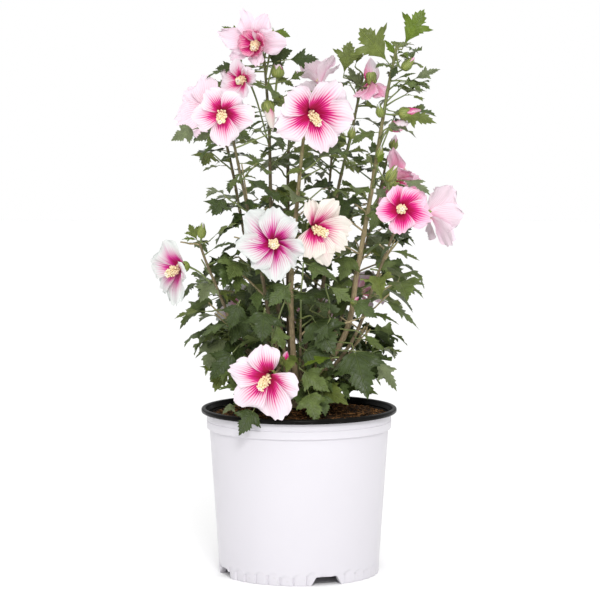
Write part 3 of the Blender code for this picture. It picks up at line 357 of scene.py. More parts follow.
# Single leaves that stand out of the crown: mass, root and tip in millimetres, facing, width, tint and outline.
SPRIGS = [Sprig(mass, mm(*root), mm(*tip), *rest) for mass, root, tip, *rest in (
    ("tall", (146, 20, 747), (178, 12, 805), FRONT, 1.12, "young", WEDGE),
    ("tall", (130, 16, 725), (85, 4, 778), FRONT, 1.42, "olive", WEDGE),
    ("tall", (136, 20, 704), (167, 16, 714), UP, 0.9, "mid", SMALL),
    ("tall", (159, 20, 703), (202, 20, 720), TO_LEFT, 0.8, "grey", NARROW),
    ("tall", (129, 12, 661), (196, 0, 643), TO_RIGHT, 0.95, "olive", NARROW),
    ("tall", (140, 24, 736), (122, 30, 762), FRONT, 0.8, "bright", SMALL),
    ("tall", (141, 14, 727), (130, 6, 705), FRONT, 1, "low", SMALL),
    ("high_right", (64, 75, 708), (74, 70, 761), FRONT, 1.25, "olive", WEDGE),
    ("high_right", (93, 80, 692), (70, 70, 725), TO_LEFT, 0.9, "grey", NARROW),
    ("high_right", (93, 78, 689), (64, 60, 710), UP, 1.1, "mid", BROAD),
    ("high_right", (81, 80, 724), (92, 82, 754), FRONT, 0.9, "olive", SMALL),
    ("peak_left", (-20, 40, 733), (29, 30, 734), FRONT, 1.1, "low", NARROW),
    ("peak_left", (-48, 48, 736), (-9, 40, 747), DOWN, 1.3, "low", BROAD),
    ("peak_left", (-40, 45, 775), (-12, 40, 766), FRONT, 1.2, "young", SMALL),
    ("peak_left", (-16, 40, 703), (9, 35, 717), TO_RIGHT, 0.9, "mid", NARROW),
    ("peak_left", (-18, 20, 672), (-72, 0, 699), UP, 1.15, "mid", BROAD),
    ("peak_left", (-75, 40, 765), (-111, 34, 781), FRONT, 0.75, "young", NARROW),
    ("peak_left", (-76, 35, 743), (-99, 30, 751), FRONT, 0.8, "mid", SMALL),
    ("peak_left", (-88, 30, 724), (-120, 20, 720), TO_RIGHT, 1, "low", NARROW),
    ("peak_left", (-99, 30, 718), (-134, 20, 705), UP, 0.7, "deep", NARROW),
    ("peak_left", (-52, 20, 661), (-80, 0, 667), UP, 1, "mid", SMALL),
    ("front_left", (-142, -70, 638), (-178, -75, 620), TO_LEFT, 1.1, "grey", BROAD),
    ("front_left", (-118, -78, 633), (-145, -80, 620), FRONT, 1.1, "grey", SMALL),
    ("left", (-139, -36, 478), (-166, -40, 480), UP, 1.1, "bright", WEDGE),
    ("left", (-142, -36, 476), (-155, -44, 503), FRONT, 1.1, "olive", WEDGE),
    ("left", (-127, -36, 478), (-83, -50, 505), UP, 0.9, "olive", NARROW),
    ("left", (-130, -36, 461), (-86, -50, 475), UP, 0.8, "deep", NARROW),
    ("left", (-128, -40, 379), (-177, -45, 368), UP, 0.8, "olive", NARROW),
    ("left", (-97, -35, 353), (-142, -45, 350), UP, 0.7, "mid", NARROW),
    ("low_front_left", (-48, -95, 389), (-51, -120, 343), FRONT, 1.45, "low", BROAD),
    ("low_left", (-89, -70, 328), (-125, -80, 286), FRONT, 1.15, "low", BROAD),
    ("low_front_left", (-88, -105, 255), (-106, -118, 243), UP, 1.2, "grey", BROAD),
    ("low_front", (17, -85, 377), (50, -120, 325), FRONT, 1.3, "low", BROAD),
    ("low_front_right", (74, -75, 337), (96, -112, 263), FRONT, 1.1, "low", BROAD),
    ("low_front_right", (101, -50, 322), (138, -60, 267), TO_RIGHT, 0.85, "grey", NARROW),
    ("right", (80, -50, 342), (123, -50, 324), UP, 0.9, "mid", NARROW),
    ("right", (91, -50, 378), (142, -50, 360), UP, 0.8, "mid", NARROW),
    ("low_front_right", (55, -105, 321), (3, -118, 309), UP, 0.85, "young", NARROW),
    ("low_front", (12, -100, 275), (26, -124, 231), FRONT, 1.15, "mid", BROAD),
    ("low_front", (32, -90, 271), (37, -105, 238), FRONT, 1.1, "deep", BROAD),
    ("low_right", (57, -60, 287), (71, -85, 259), TO_LEFT, 0.9, "deep", NARROW),
    ("centre", (-3, -60, 449), (39, -85, 451), UP, 1, "mid", NARROW),
    ("centre", (-15, -60, 417), (-51, -80, 398), FRONT, 1.1, "low", BROAD),
    ("centre", (1, -60, 407), (54, -85, 398), UP, 1.1, "low", BROAD),
    ("right", (100, -50, 440), (139, -55, 449), FRONT, 0.9, "mid", NARROW),
    ("right", (122, -55, 466), (170, -50, 451), UP, 0.9, "mid", NARROW),
    ("tall", (75, 0, 459), (58, -30, 421), FRONT, 1.1, "mid", BROAD),
    ("tall", (136, -60, 565), (182, -106, 545), UP, 0.8, "grey", NARROW),
    ("tall", (107, 0, 553), (125, -20, 537), FRONT, 1.1, "grey", SMALL),
    ("tall", (114, -4, 523), (102, -14, 490), FRONT, 1.1, "mid", BROAD),
    ("low_front_left", (-60, -120, 254), (-83, -141, 216), FRONT, 1.1, "low", BROAD),
    ("low_front", (6, -100, 452), (54, -115, 426), UP, 1.1, "deep", BROAD),
    ("low_front_right", (37, -100, 423), (73, -110, 399), FRONT, 0.95, "mid", WEDGE),
    ("low_front_left", (-12, -85, 423), (-43, -100, 391), FRONT, 1.1, "deep", BROAD),
    ("low_front", (1, -95, 335), (50, -105, 306), FRONT, 1.1, "low", BROAD),
    ("low_front", (1, -100, 305), (43, -110, 273), TO_LEFT, 1, "mid", BROAD),
    ("low_front_left", (-32, -105, 375), (-21, -112, 332), TO_LEFT, 1, "mid", WEDGE),
    ("low_left", (-93, -75, 367), (-140, -85, 345), UP, 0.9, "deep", NARROW),
    ("low_left", (-82, -80, 398), (-98, -90, 357), FRONT, 1.1, "low", BROAD),
    ("right", (74, -60, 396), (110, -70, 372), FRONT, 1, "deep", BROAD),
    ("right", (108, -50, 401), (170, -50, 353), UP, 0.75, "mid", NARROW),
    ("low_front_right", (43, -110, 375), (26, -118, 343), FRONT, 1, "low", WEDGE),
    ("low_front_right", (79, -80, 356), (118, -85, 326), UP, 0.9, "mid", WEDGE),
    ("right", (108, -50, 586), (120, -55, 603), FRONT, 1, "bright", SMALL),
)]
# The stretch of a limb that the leaves in front of it leave in view: its mass, lowest and highest point.
LANES = (("centre", 0.255, 0.405), ("tall", 0.290, 0.730), ("peak_left", 0.655, 0.740))
LANE_WIDTH = 0.0042
# Spots of a leaf, as (distance along, half width) for a length of 1, that mustn't hide what stays in view.
LEAF_SPOTS = ((0.35, 0.0), (0.6, 0.0), (0.8, 0.0), (0.97, 0.0), (0.55, 0.2), (0.55, -0.2))
VIEW_POINT = Vector((0.0014, -3.5, 0.7024))

# Tints of the leaves, and how likely each is at these heights. The deep and low tints, most likely low in the crown,
# are darker partly as the older leaves' own colour and partly as painted shade.
TINT_HEIGHTS = (0.26, 0.40, 0.52, 0.64, 0.74, 0.80)
TINT_ODDS = {
    "deep": (0.26, 0.22, 0.20, 0.18, 0.10, 0.05),
    "mid": (0.34, 0.36, 0.36, 0.34, 0.26, 0.10),
    "olive": (0.12, 0.16, 0.20, 0.22, 0.30, 0.30),
    "young": (0.00, 0.00, 0.02, 0.06, 0.22, 0.35),
    # The grey tint is a painted sheen: a greyer colour that stands in for light reflected off the leaves.
    "grey": (0.12, 0.12, 0.12, 0.12, 0.06, 0.00),
    "low": (0.16, 0.14, 0.14, 0.12, 0.05, 0.00),
    "bright": (0.00, 0.00, 0.00, 0.00, 0.04, 0.20),
}
TINTS = list(TINT_ODDS)

# The share of the leaves that is left out, by height, and how much more in the open masses.
LOWEST_TIP = 0.205
THIN_HEIGHTS, THIN_SHARES = (0.30, 0.40, 0.60, 0.70), (0.10, 0.28, 0.26, 0.08)
OPEN_MASSES, OPEN_SHARE = ("foliage_right", "foliage_left"), 0.16
# Petal for a flower of radius 1: its half width from eye to margin, and the rows and columns of its grid.
PETAL_RUNS = (0.0, 0.12, 0.26, 0.42, 0.58, 0.74, 0.87, 0.95, 1.0)
PETAL_HALVES = (0.05, 0.10, 0.20, 0.34, 0.47, 0.55, 0.535, 0.455, 0.34)
PETAL_ROWS, PETAL_COLUMNS = 16, 15
# Small petals that crowd an eye: their reach, width and cup.
INNER_PETAL = (0.66, 1.0, 0.78)
# Palettes of the petals: where along a petal the throat, the pink and the blush stand, how far the colours' border
# is spread, and how strongly they glow for the usual amount, a painted glow that stands in for light through the
# petals.
PALETTES = {
    "blush": (0.61, 0.71, 0.85, 0.15, 1.0),
    "white": (0.56, 0.68, 0.84, 0.16, 1.0),
    "cream": (0.52, 0.63, 0.78, 0.15, 1.0),
    "rose": (0.72, 0.84, 0.98, 0.15, 1.5),
    "pale": (0.28, 0.40, 0.56, 0.14, 1.6),
    "crimson": (0.60, 0.78, 0.92, 0.20, 1.0),
}
SHADES = list(PALETTES)
CRIMSON_MARGIN = (0.745, 0.36, 0.48)
# The white petals' eye and throat lean to violet by these.
WHITE_EYE, WHITE_THROAT = (0.80, 1.0, 1.15), (0.86, 1.0, 1.22)
# Strength of the petals' painted glow, which stands in for light that shines through them.
PAINTED_PETAL_GLOW = 0.12

# ---- Curves ----


class Path:
    """A smooth curve through a few points, read by the length run along it."""

    SPAN = 0.002

    def __init__(self, points, steps=10):
        points = [Vector(p) for p in points]
        ends = [2 * points[0] - points[1]] + points + [2 * points[-1] - points[-2]]
        self.points = points[:1]
        for before, start, end, after in zip(ends, ends[1:], ends[2:], ends[3:]):
            for step in range(1, steps + 1):
                t = step / steps
                bend = 2 * start + (end - before) * t + (2 * before - 5 * start + 4 * end - after) * t**2
                self.points.append(0.5 * (bend + (3 * start - before - 3 * end + after) * t**3))
        runs = [(b - a).length for a, b in zip(self.points, self.points[1:])]
        self.marks = np.concatenate([[0.0], np.cumsum(runs)])
        self.length = float(self.marks[-1])

    def at(self, run):
        """The point this far along."""
        i = int(np.clip(np.searchsorted(self.marks, run) - 1, 0, len(self.points) - 2))
        share = (run - self.marks[i]) / (self.marks[i + 1] - self.marks[i])
        return self.points[i].lerp(self.points[i + 1], float(share))

    def along(self, run):
        """The direction of travel this far along."""
        run = min(max(run, self.SPAN), self.length - self.SPAN)
        return (self.at(run + self.SPAN) - self.at(run - self.SPAN)).normalized()

    def run_at_height(self, height):
        """The length run where the curve first reaches this height."""
        return next((float(mark) for mark, point in zip(self.marks, self.points) if point.z >= height), self.length)

    def nearest(self, point):
        return min((p - point).length for p in self.points[::3] + self.points[-1:])


def way_of(turn, elevation=0.0):
    """The unit vector that points this way: turn about +Z, then elevation."""
    flat = math.cos(elevation)
    return Vector((flat * math.cos(turn), flat * math.sin(turn), math.sin(elevation)))


def square_to(direction, hint):
    """A unit vector square to the direction, as near the hint as it can be."""
    side = hint - direction * hint.dot(direction)
    return side.normalized() if side.length > 1e-4 else direction.orthogonal().normalized()


def frame_of(axis):
    """Two directions square to the axis, so that (side, up, axis) is a right-handed frame."""
    up = square_to(axis, UPRIGHT)
    return up.cross(axis), up


def swing(first, second, angle):
    """The direction this far round from the first towards the second."""
    return math.cos(angle) * first + math.sin(angle) * second


# ---- Closed shapes of the plan, as (points, faces) ----


def tube(path, stations, sides):
    """A closed limb with flat ends along a path, through stations of (run, radius)."""
    points, out = [], Vector((0.31, 0.17, 0.05))
    for run, radius in stations:
        along = path.along(run)
        out = square_to(along, out)
        across = along.cross(out)
        points += [path.at(run) + radius * swing(out, across, WHOLE_TURN * k / sides) for k in range(sides)]
    last = len(points) - sides
    faces = [(low + k, low + (k + 1) % sides, low + sides + (k + 1) % sides, low + sides + k)
             for low in range(0, last, sides) for k in range(sides)]
    return points, faces + [tuple(reversed(range(sides))), tuple(range(last, last + sides))]


def taper(start, end, first_radius, last_radius, step):
    """Stations at about this step, with the radius falling evenly."""
    count = max(1, round((end - start) / step))
    return [(start + (end - start) * i / count, first_radius + (last_radius - first_radius) * i / count)
            for i in range(count + 1)]


def fan(rim, front, back):
    """A closed lens: a rim of points, with one point in front of it and one behind."""
    count = len(rim)
    pairs = [(i, (i + 1) % count) for i in range(count)]
    return [*rim, front, back], [face for a, b in pairs for face in ((a, b, count), (b, a, count + 1))]


def leaf_shape(root, tip, normal, cut=0.0, swell=0.0):
    """A three-lobed leaf, flat behind and raised in front. A cut leaves out its root; swell thickens it."""
    axis = tip - root
    length = axis.length
    along = axis / length
    normal = square_to(along, normal)
    side = along.cross(normal)
    wide = length + 2.0 * swell

    def at(run, half=0):
        return root + axis * run + side * (half * wide)

    (lobe, lobe_half), (notch, notch_half) = LEAF_LOBE, LEAF_NOTCH
    rim = [at(cut), at(lobe, lobe_half), at(notch, notch_half), at(1.0), at(notch, -notch_half), at(lobe, -lobe_half)]
    middle = at(LEAF_MIDDLE)
    if swell:
        return fan(rim, middle + normal * (LEAF_THICKNESS + swell), middle - normal * swell)
    faces = [(i, (i + 1) % 6, 6) for i in range(6)] + [(1, 0, 5), (2, 1, 5), (4, 2, 5), (3, 2, 4)]
    return rim + [middle + normal * LEAF_THICKNESS], faces


def petals_shape(eye, facing, radius, cup, spin):
    """Five petals in one cupped disc with a notch between neighbours."""
    up = square_to(facing, UPRIGHT)
    side = facing.cross(up)
    spread = math.sqrt(1.0 - 0.9 * cup * cup) * radius
    rim = [eye + facing * (cup * radius * depth)
           + swing(up, side, spin + petal * 2 * math.pi / PETALS + turn) * (spread * reach)
           for petal in range(PETALS) for turn, reach, depth in PETAL_RIM]
    half = facing * PETAL_HALF_THICKNESS
    return fan(rim, eye + half, eye - half)


def column_shape(eye, facing, radius):
    """The staminal column: a club that stands out of the eye."""
    path = Path((eye - facing * COLUMN_SINK, eye + facing * COLUMN_REACH * radius), steps=1)
    return tube(path, ((0.0, COLUMN_RADII[0]), (path.length, COLUMN_RADII[1])), 4)


def pedicel_shape(start, eye, facing):
    """The flower's stalk, which widens into the calyx behind the petals."""
    neck = eye - facing * CALYX_LENGTH
    arch = start.lerp(neck, 0.6) + UPRIGHT * PEDICEL_ARCH
    path = Path((start, arch, neck, eye + facing * PETAL_HALF_THICKNESS), steps=3)
    calyx = path.length - CALYX_LENGTH
    return tube(path, ((0.0, PEDICEL_RADIUS), (calyx, NECK_RADIUS), (path.length, CALYX_RADIUS)), 4)


def bud_shape(base, tip, radius):
    """A pointed bud, fattest a little below its middle."""
    axis = (tip - base).normalized()
    out = square_to(axis, UPRIGHT)
    across = axis.cross(out)
    middle = base.lerp(tip, BUD_WIDEST)
    rim = [middle + radius * swing(out, across, WHOLE_TURN * k / BUD_SIDES) for k in range(BUD_SIDES)]
    return fan(rim, tip, base)


def twig_shape(start, end, radius, tip_radius=TWIG_TIP_RADIUS, trim=0.0):
    """A straight three-sided twig. A trim leaves out its root."""
    path = Path((start, end), steps=1)
    return tube(path, ((trim, radius), (path.length, tip_radius)), TWIG_SIDES)


# ---- The rule that grows the plant ----


class Room:
    """What has been placed so far, so that nothing new is placed across it."""

    def __init__(self):
        self.taken = []
        self.boxes = np.empty((0, 6))

    @staticmethod
    def box_of(points):
        return [min(p[i] for p in points) for i in range(3)], [max(p[i] for p in points) for i in range(3)]

    def add(self, owner, shape):
        low, high = self.box_of(shape[0])
        self.boxes = np.vstack([self.boxes, low + high])
        self.taken.append((owner, BVHTree.FromPolygons(*shape)))

    def free(self, owner, whole, trimmed):
        """Whether the whole shape clears every other mass, and the trimmed one its own mass too."""
        low, high = self.box_of(whole[0])
        near = ((self.boxes[:, :3] <= high) & (self.boxes[:, 3:] >= low)).all(axis=1)
        trees = {}
        for index in np.flatnonzero(near):
            holder, tree = self.taken[index]
            own = holder == owner
            if own not in trees:
                trees[own] = BVHTree.FromPolygons(*(trimmed if own else whole))
            if trees[own].overlap(tree):
                return False
        return True


def leader_of_stem(stem):
    """The whole curve of a stem, from inside the stool to its tip, and the run where its foliage starts."""
    foot_way = way_of(math.radians(stem.turn))
    foot = foot_way * stem.inset + Vector((0, 0, SOIL_TOP + GAP + stem.rise))
    heart = foot - foot_way * HEART_INSET - Vector((0, 0, HEART_DROP))
    path = Path([heart, foot, *stem.way])
    return path, path.run_at_height(stem.bare)


def leader_of_shoot(shoot):
    """The curve of a low shoot: out of the stool's side, then arching up."""
    out = way_of(math.radians(shoot.turn))
    level = SOIL_TOP + GAP + SHOOT_RISE
    reach_share, rise_share = SHOOT_ELBOW
    heart = out * SHOOT_HEART + Vector((0, 0, level))
    elbow = out * (reach_share * shoot.reach) + Vector((0, 0, level + rise_share * (shoot.height - level)))
    return Path((heart, elbow, out * shoot.reach + Vector((0, 0, shoot.height))))


def in_crown(point):
    """Whether a point lies in the crown's outline, above the mix and clear of the rim."""
    heights, *limits = zip(*CROWN)
    left, right, depth = (float(np.interp(point.z, heights, limit)) for limit in limits)
    in_mouth = math.hypot(point.x, point.y) < MOUTH_RADIUS - CROWN_IN_MOUTH
    floor = SOIL_TOP + CROWN_OVER_MIX if in_mouth else RIM_HEIGHT + CROWN_OVER_RIM
    return left < point.x < right and abs(point.y) < depth and floor < point.z < CROWN[-1][0]


Leaf = namedtuple("Leaf", "root tip normal")


class Mass:
    """One mass of foliage: its leader, what stands on it, and the rule that it grows by."""

    def __init__(self, name, plant, path, start, foot_radius, radius, tip_radius, habit):
        self.name, self.plant, self.habit = "foliage_" + name, plant, habit
        self.path, self.start, self.span = path, start, path.length - start
        self.foot_radius, self.radius, self.tip_radius = foot_radius, radius, tip_radius
        self.knots, self.leaves, self.twigs, self.buds = [], [], [], []

    def spot(self, fraction):
        """A point on the leader, this share of the way from its start to its tip."""
        return self.path.at(self.start + min(fraction, 0.995) * self.span)

    def place(self, shape):
        self.plant.room.add(self.name, shape)

    def place_leader(self):
        stations = taper(self.start, self.path.length, self.radius, self.tip_radius, LEADER_STEP)
        self.place(tube(self.path, stations, LEADER_SIDES))

    def add_flower(self, bloom, spin):
        facing = Vector(bloom.facing).normalized()
        self.place(pedicel_shape(self.spot(bloom.fraction), bloom.eye, facing))
        self.place(petals_shape(bloom.eye, facing, bloom.radius, bloom.cup, spin))
        self.place(column_shape(bloom.eye, facing, bloom.radius))

    def add_bud(self, bud):
        start = self.spot(bud.fraction)
        axis = ((bud.tip - start).normalized() + Vector((0, 0, 0.5))).normalized()
        base = bud.tip - axis * bud.length
        self.place(twig_shape(start, base + axis * JOINT_OVERLAP, PEDICEL_RADIUS))
        self.place(bud_shape(base, bud.tip, BUD_GIRTH * bud.length))
        self.buds.append((start, base, bud.tip))

    def add_blade(self, blade):
        """A leaf with a set tip, on a twig that bridges from the leader to its root."""
        start, tip = self.spot(blade.fraction), blade.tip
        heading = tip - start
        root = tip - way_of(math.atan2(heading.y, heading.x), math.radians(blade.lean)) * blade.length
        overlap = (root - start).normalized() * JOINT_OVERLAP
        self.place(twig_shape(start, root + overlap, TWIG_RADIUS))
        self.place(leaf_shape(root, tip, BLADE_NORMAL))
        self.twigs.append((start, root + overlap))
        self.leaves.append(Leaf(root, tip, BLADE_NORMAL))

    def owns(self, tip):
        """Whether a tip lies in the crown, and nearer this leader than the next mass allows for."""
        if not in_crown(tip):
            return False
        own = self.path.nearest(tip)
        others = (other for other in self.plant.masses.values() if other is not self)
        return all(own <= other.path.nearest(tip) + SHARED_BORDER for other in others)

    def try_leaf(self, root, turn, dice, size=1.0):
        """Places one seeded leaf, turned until it is clear, or skips it. Low leaves are the largest, and hang."""
        length = float(np.interp(root.z, *LEAF_SIZES)) * dice.uniform(1.0 - SIZE_SPREAD, 1.0 + SIZE_SPREAD) * size
        lean = math.radians(float(np.interp(root.z, *LEAF_LEANS)) + dice.uniform(-LEAN_SPREAD, LEAN_SPREAD))
        roll = Vector((dice.uniform(-LEAF_ROLL, LEAF_ROLL), dice.uniform(-LEAF_ROLL, LEAF_ROLL), 1.0))
        for nudge in LEAF_TURNS:
            tip = root + way_of(turn + nudge, lean + TURN_LIFT * nudge) * length
            if not self.owns(tip):
                continue
            whole = leaf_shape(root, tip, roll, swell=CLEARANCE)
            trimmed = leaf_shape(root, tip, roll, cut=LEAF_ROOT_SHARE, swell=CLEARANCE)
            if self.plant.room.free(self.name, whole, trimmed):
                self.place(leaf_shape(root, tip, roll))
                self.leaves.append(Leaf(root, tip, roll))
                return

    def try_side_shoot(self, run, turn, dice):
        """A twig off the leader with leaves at its tip and along it, or nothing where it has no room."""
        root = self.path.at(run)
        length = dice.uniform(*TWIG_LENGTHS)
        rise = math.radians(dice.uniform(*TWIG_RISES))
        wide = TWIG_RADIUS + CLEARANCE
        for nudge in TWIG_TURNS:
            heading = turn + nudge
            tip = root + way_of(heading, rise) * length
            if not self.owns(tip):
                continue
            trimmed = twig_shape(root, tip, wide, wide, trim=LEAF_ROOT_SHARE * length + TWIG_RADIUS)
            if not self.plant.room.free(self.name, twig_shape(root, tip, wide, wide), trimmed):
                continue
            self.place(twig_shape(root, tip, TWIG_RADIUS))
            self.twigs.append((root, tip))
            end = root.lerp(tip, TWIG_TIP_SHARE)
            self.try_leaf(end, heading, dice)
            self.try_leaf(end, heading + dice.choice(PAIR_TURNS), dice)
            if root.z < FULL_FOLIAGE:
                self.try_leaf(root.lerp(tip, TWIG_MIDDLE_SHARE), heading + dice.choice(PAIR_TURNS), dice)
            return True
        return False

    def grow(self):
        """Works up the leader, node by node, and sets a leaf or a leafy side shoot at each."""
        dice = random.Random(self.name)
        leafy = self.span - self.habit.bare
        count = int(leafy / self.habit.spacing)
        turn = dice.uniform(0.0, WHOLE_TURN)
        for node in range(1, count + 1):
            run = self.start + self.habit.bare + leafy * (node - FIRST_NODE) / count
            turn += TURN
            self.knots.append(run)
            if not (node % 2 == 0 and node < count and self.try_side_shoot(run, turn, dice)):
                self.try_leaf(self.path.at(run), turn, dice)
            if dice.random() < self.habit.pairs:
                self.try_leaf(self.path.at(run), turn + math.pi, dice)

    def fill(self):
        """The finer growth: small leaves along the side twigs, and between the nodes of the leader."""
        dice = random.Random(self.name + "_fine")
        turn = dice.uniform(0.0, WHOLE_TURN)
        for start, end in list(self.twigs):
            for share in FINE_TWIG_SHARES:
                turn += TURN
                root = start.lerp(end, share + dice.uniform(-FINE_STRAY, FINE_STRAY))
                self.try_leaf(root, turn, dice, dice.uniform(*FINE_SIZES))
        count = int(self.span / FINE_SPACING)
        for node in range(1, count + 1):
            turn += TURN
            run = self.start + self.span * (node - 0.5) / (count + 0.5)
            if node % 3 or not self.try_side_shoot(run, turn, dice):
                self.try_leaf(self.path.at(run), turn, dice, dice.uniform(*FINE_SIZES))


class Plant:
    """The whole shrub, grown by the plan and the rule: its masses by their short names."""

    def __init__(self):
        self.room, self.masses = Room(), {}
        for name, stem in STEMS.items():
            path, start = leader_of_stem(stem)
            radius = stem.radius + (stem.tip_radius - stem.radius) * (start / path.length)
            self.room.add("bough_" + name, tube(path, taper(0.0, start, stem.radius, radius, LIMB_STEP), LIMB_SIDES))
            self.masses[name] = Mass(
                name, self, path, start + GAP, stem.radius, radius, stem.tip_radius, STEM_HABIT)
        for name, shoot in SHOOTS.items():
            path = leader_of_shoot(shoot)
            self.masses[name] = Mass(name, self, path, 0.0, SHOOT_RADIUS, SHOOT_RADIUS, TWIG_RADIUS, SHOOT_HABIT)
        for mass in self.masses.values():
            mass.place_leader()
        for index, bloom in enumerate(BLOOMS):
            self.masses[bloom.mass].add_flower(bloom, FLOWER_SPIN * index)
        for bud in BUDS:
            self.masses[bud.mass].add_bud(bud)
        for blade in BLADES:
            self.masses[blade.mass].add_blade(blade)
        for mass in self.masses.values():
            mass.grow()
        for mass in self.masses.values():
            mass.fill()


@functools.cache
def grown():
    """The masses of the one plant that is dressed."""
    return Plant().masses


# ---- Objects ----


def new_object(name, data):
    """A fresh object of this name, in place of an older one."""
    old = bpy.data.objects.get(name)
    if old:
        bpy.data.objects.remove(old)
    obj = bpy.data.objects.new(name, data)
    bpy.context.scene.collection.objects.link(obj)
    return obj


def bmesh_object(name, made):
    mesh = bpy.data.meshes.new(name)
    made.to_mesh(mesh)
    made.free()
    return new_object(name, mesh)


def evaluated_mesh(obj):
    """The mesh that an object's curve or modifiers make."""
    graph = bpy.context.evaluated_depsgraph_get()
    graph.update()
    return bpy.data.meshes.new_from_object(obj.evaluated_get(graph))


def keep_evaluated(obj):
    """Keeps the mesh that the modifiers make, and drops the modifiers."""
    mesh = evaluated_mesh(obj)
    obj.modifiers.clear()
    obj.data = mesh


def settle(obj, nodes, materials=(), smooth=None):
    """Finishes a piece: its materials and shading, the body that it rides on and the nodes that it stands for."""
    for made in materials:
        obj.data.materials.append(made)
    obj.data.shade_smooth()
    if smooth is not None:
        obj.data.set_sharp_from_angle(angle=math.radians(smooth))
    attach(obj, BODY)
    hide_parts(*nodes)


def spun(profile, sides, weld):
    """A profile of (radius, height) turned about the Z axis, with its seam and poles closed."""
    made = bmesh.new()
    ring = [made.verts.new((radius, 0.0, height)) for radius, height in profile]
    edges = [made.edges.new((a, b)) for a, b in zip(ring, ring[1:])]
    bmesh.ops.spin(
        made, geom=ring + edges, axis=(0, 0, 1), cent=(0, 0, 0), angle=WHOLE_TURN, steps=sides, use_merge=True)
    bmesh.ops.remove_doubles(made, verts=made.verts, dist=weld)
    return made


def turned(name, profile, sides):
    """An object turned from a profile."""
    made = spun(profile, sides, 1e-6)
    bmesh.ops.dissolve_degenerate(made, edges=made.edges, dist=1e-7)
    bmesh.ops.recalc_face_normals(made, faces=made.faces)
    return bmesh_object(name, made)


def corner(radius, centre, first, last, steps):
    """Points of a rounded corner, from one angle to another in degrees."""
    angles = [math.radians(first + (last - first) * step / steps) for step in range(steps + 1)]
    return [(centre[0] + radius * math.cos(angle), centre[1] + radius * math.sin(angle)) for angle in angles]


def strands(name, runs, resolution=1, materials=()):
    """Round strands joined in one mesh, each a run of (points, radii, slot)."""
    curve = bpy.data.curves.new(name, "CURVE")
    curve.dimensions = "3D"
    curve.bevel_depth, curve.bevel_resolution = 1.0, resolution
    curve.use_fill_caps = True
    for made in materials:
        curve.materials.append(made)
    for points, radii, slot in runs:
        spline = curve.splines.new("POLY")
        spline.points.add(len(points) - 1)
        spline.points.foreach_set("co", [value for p in points for value in (*p, 1.0)])
        spline.points.foreach_set("radius", radii)
        spline.material_index = slot
        spline.use_smooth = True
    source = new_object(name, curve)
    mesh = evaluated_mesh(source)
    bpy.data.objects.remove(source)
    bpy.data.curves.remove(curve)
    return new_object(name, mesh)


def roughen(obj, reach, scale, stretch, seed=0.0):
    """Moves each point along its normal by a fine noise, drawn out along Z by the stretch."""
    mesh = obj.data
    normals = [vertex.normal.copy() for vertex in mesh.vertices]
    for vertex, normal in zip(mesh.vertices, normals):
        spot = vertex.co * scale
        spot.z = spot.z / stretch + seed
        vertex.co += normal * (reach * (noise.noise(spot) + 0.5 * noise.noise(spot * 2.3)))


class Heap:
    """Many small shapes gathered as arrays and joined into one mesh, with a slot for each."""

    # Share of its cell in the bake map that a slot leaves free at its edge.
    MARGIN = 0.03

    def __init__(self):
        self.points, self.faces, self.slots, self.pattern = [], [], [], []
        self.count = 0

    def add(self, points, faces, slot, pattern):
        self.points.append(points)
        self.faces.append(faces + self.count)
        self.slots.append(np.full(len(faces), slot))
        self.pattern.append(pattern)
        self.count += len(points)

    def build(self, name, slots):
        """The joined mesh, with the pattern's map, and the bake map where each slot has its own cell."""
        points = np.concatenate(self.points).astype(np.float32)
        faces = np.concatenate(self.faces).astype(np.int32)
        slot = np.concatenate(self.slots).astype(np.int32)
        corners = faces.ravel()
        mesh = bpy.data.meshes.new(name)
        mesh.vertices.add(len(points))
        mesh.vertices.foreach_set("co", points.ravel())
        mesh.loops.add(len(corners))
        mesh.loops.foreach_set("vertex_index", corners)
        mesh.polygons.add(len(faces))
        mesh.polygons.foreach_set("loop_start", np.arange(0, len(corners), 3, dtype=np.int32))
        mesh.polygons.foreach_set("material_index", slot)
        mesh.update(calc_edges=True)
        pattern = np.concatenate(self.pattern).astype(np.float32)[corners]
        columns = math.ceil(math.sqrt(slots))
        cell = np.repeat(slot, 3)
        shift = np.stack([cell % columns, cell // columns], axis=1)
        bake = ((shift + self.MARGIN + (1 - 2 * self.MARGIN) * pattern) / columns).astype(np.float32)
        for layer, values in ((MAP, pattern), (BAKE_MAP, bake)):
            mesh.uv_layers.new(name=layer)
            mesh.uv_layers[layer].data.foreach_set("uv", values.ravel())
        return new_object(name, mesh)


def arrays_of(made):
    """A bmesh as arrays of points and triangles; it is freed."""
    bmesh.ops.triangulate(made, faces=made.faces)
    made.verts.index_update()
    points = np.array([v.co for v in made.verts])
    faces = np.array([[v.index for v in face.verts] for face in made.faces])
    made.free()
    return points, faces


def placed(points, origin, x, y, z):
    """Local points set in the frame of these three directions."""
    return points @ np.array([x, y, z], dtype=float) + np.array(origin, dtype=float)


# ---- Materials ----


def toned(colour, gain, lift=(0.0, 0.0, 0.0)):
    """A colour made brighter or darker, and lifted a little."""
    return tuple(min(1.0, value * gain + more) for value, more in zip(colour, lift))


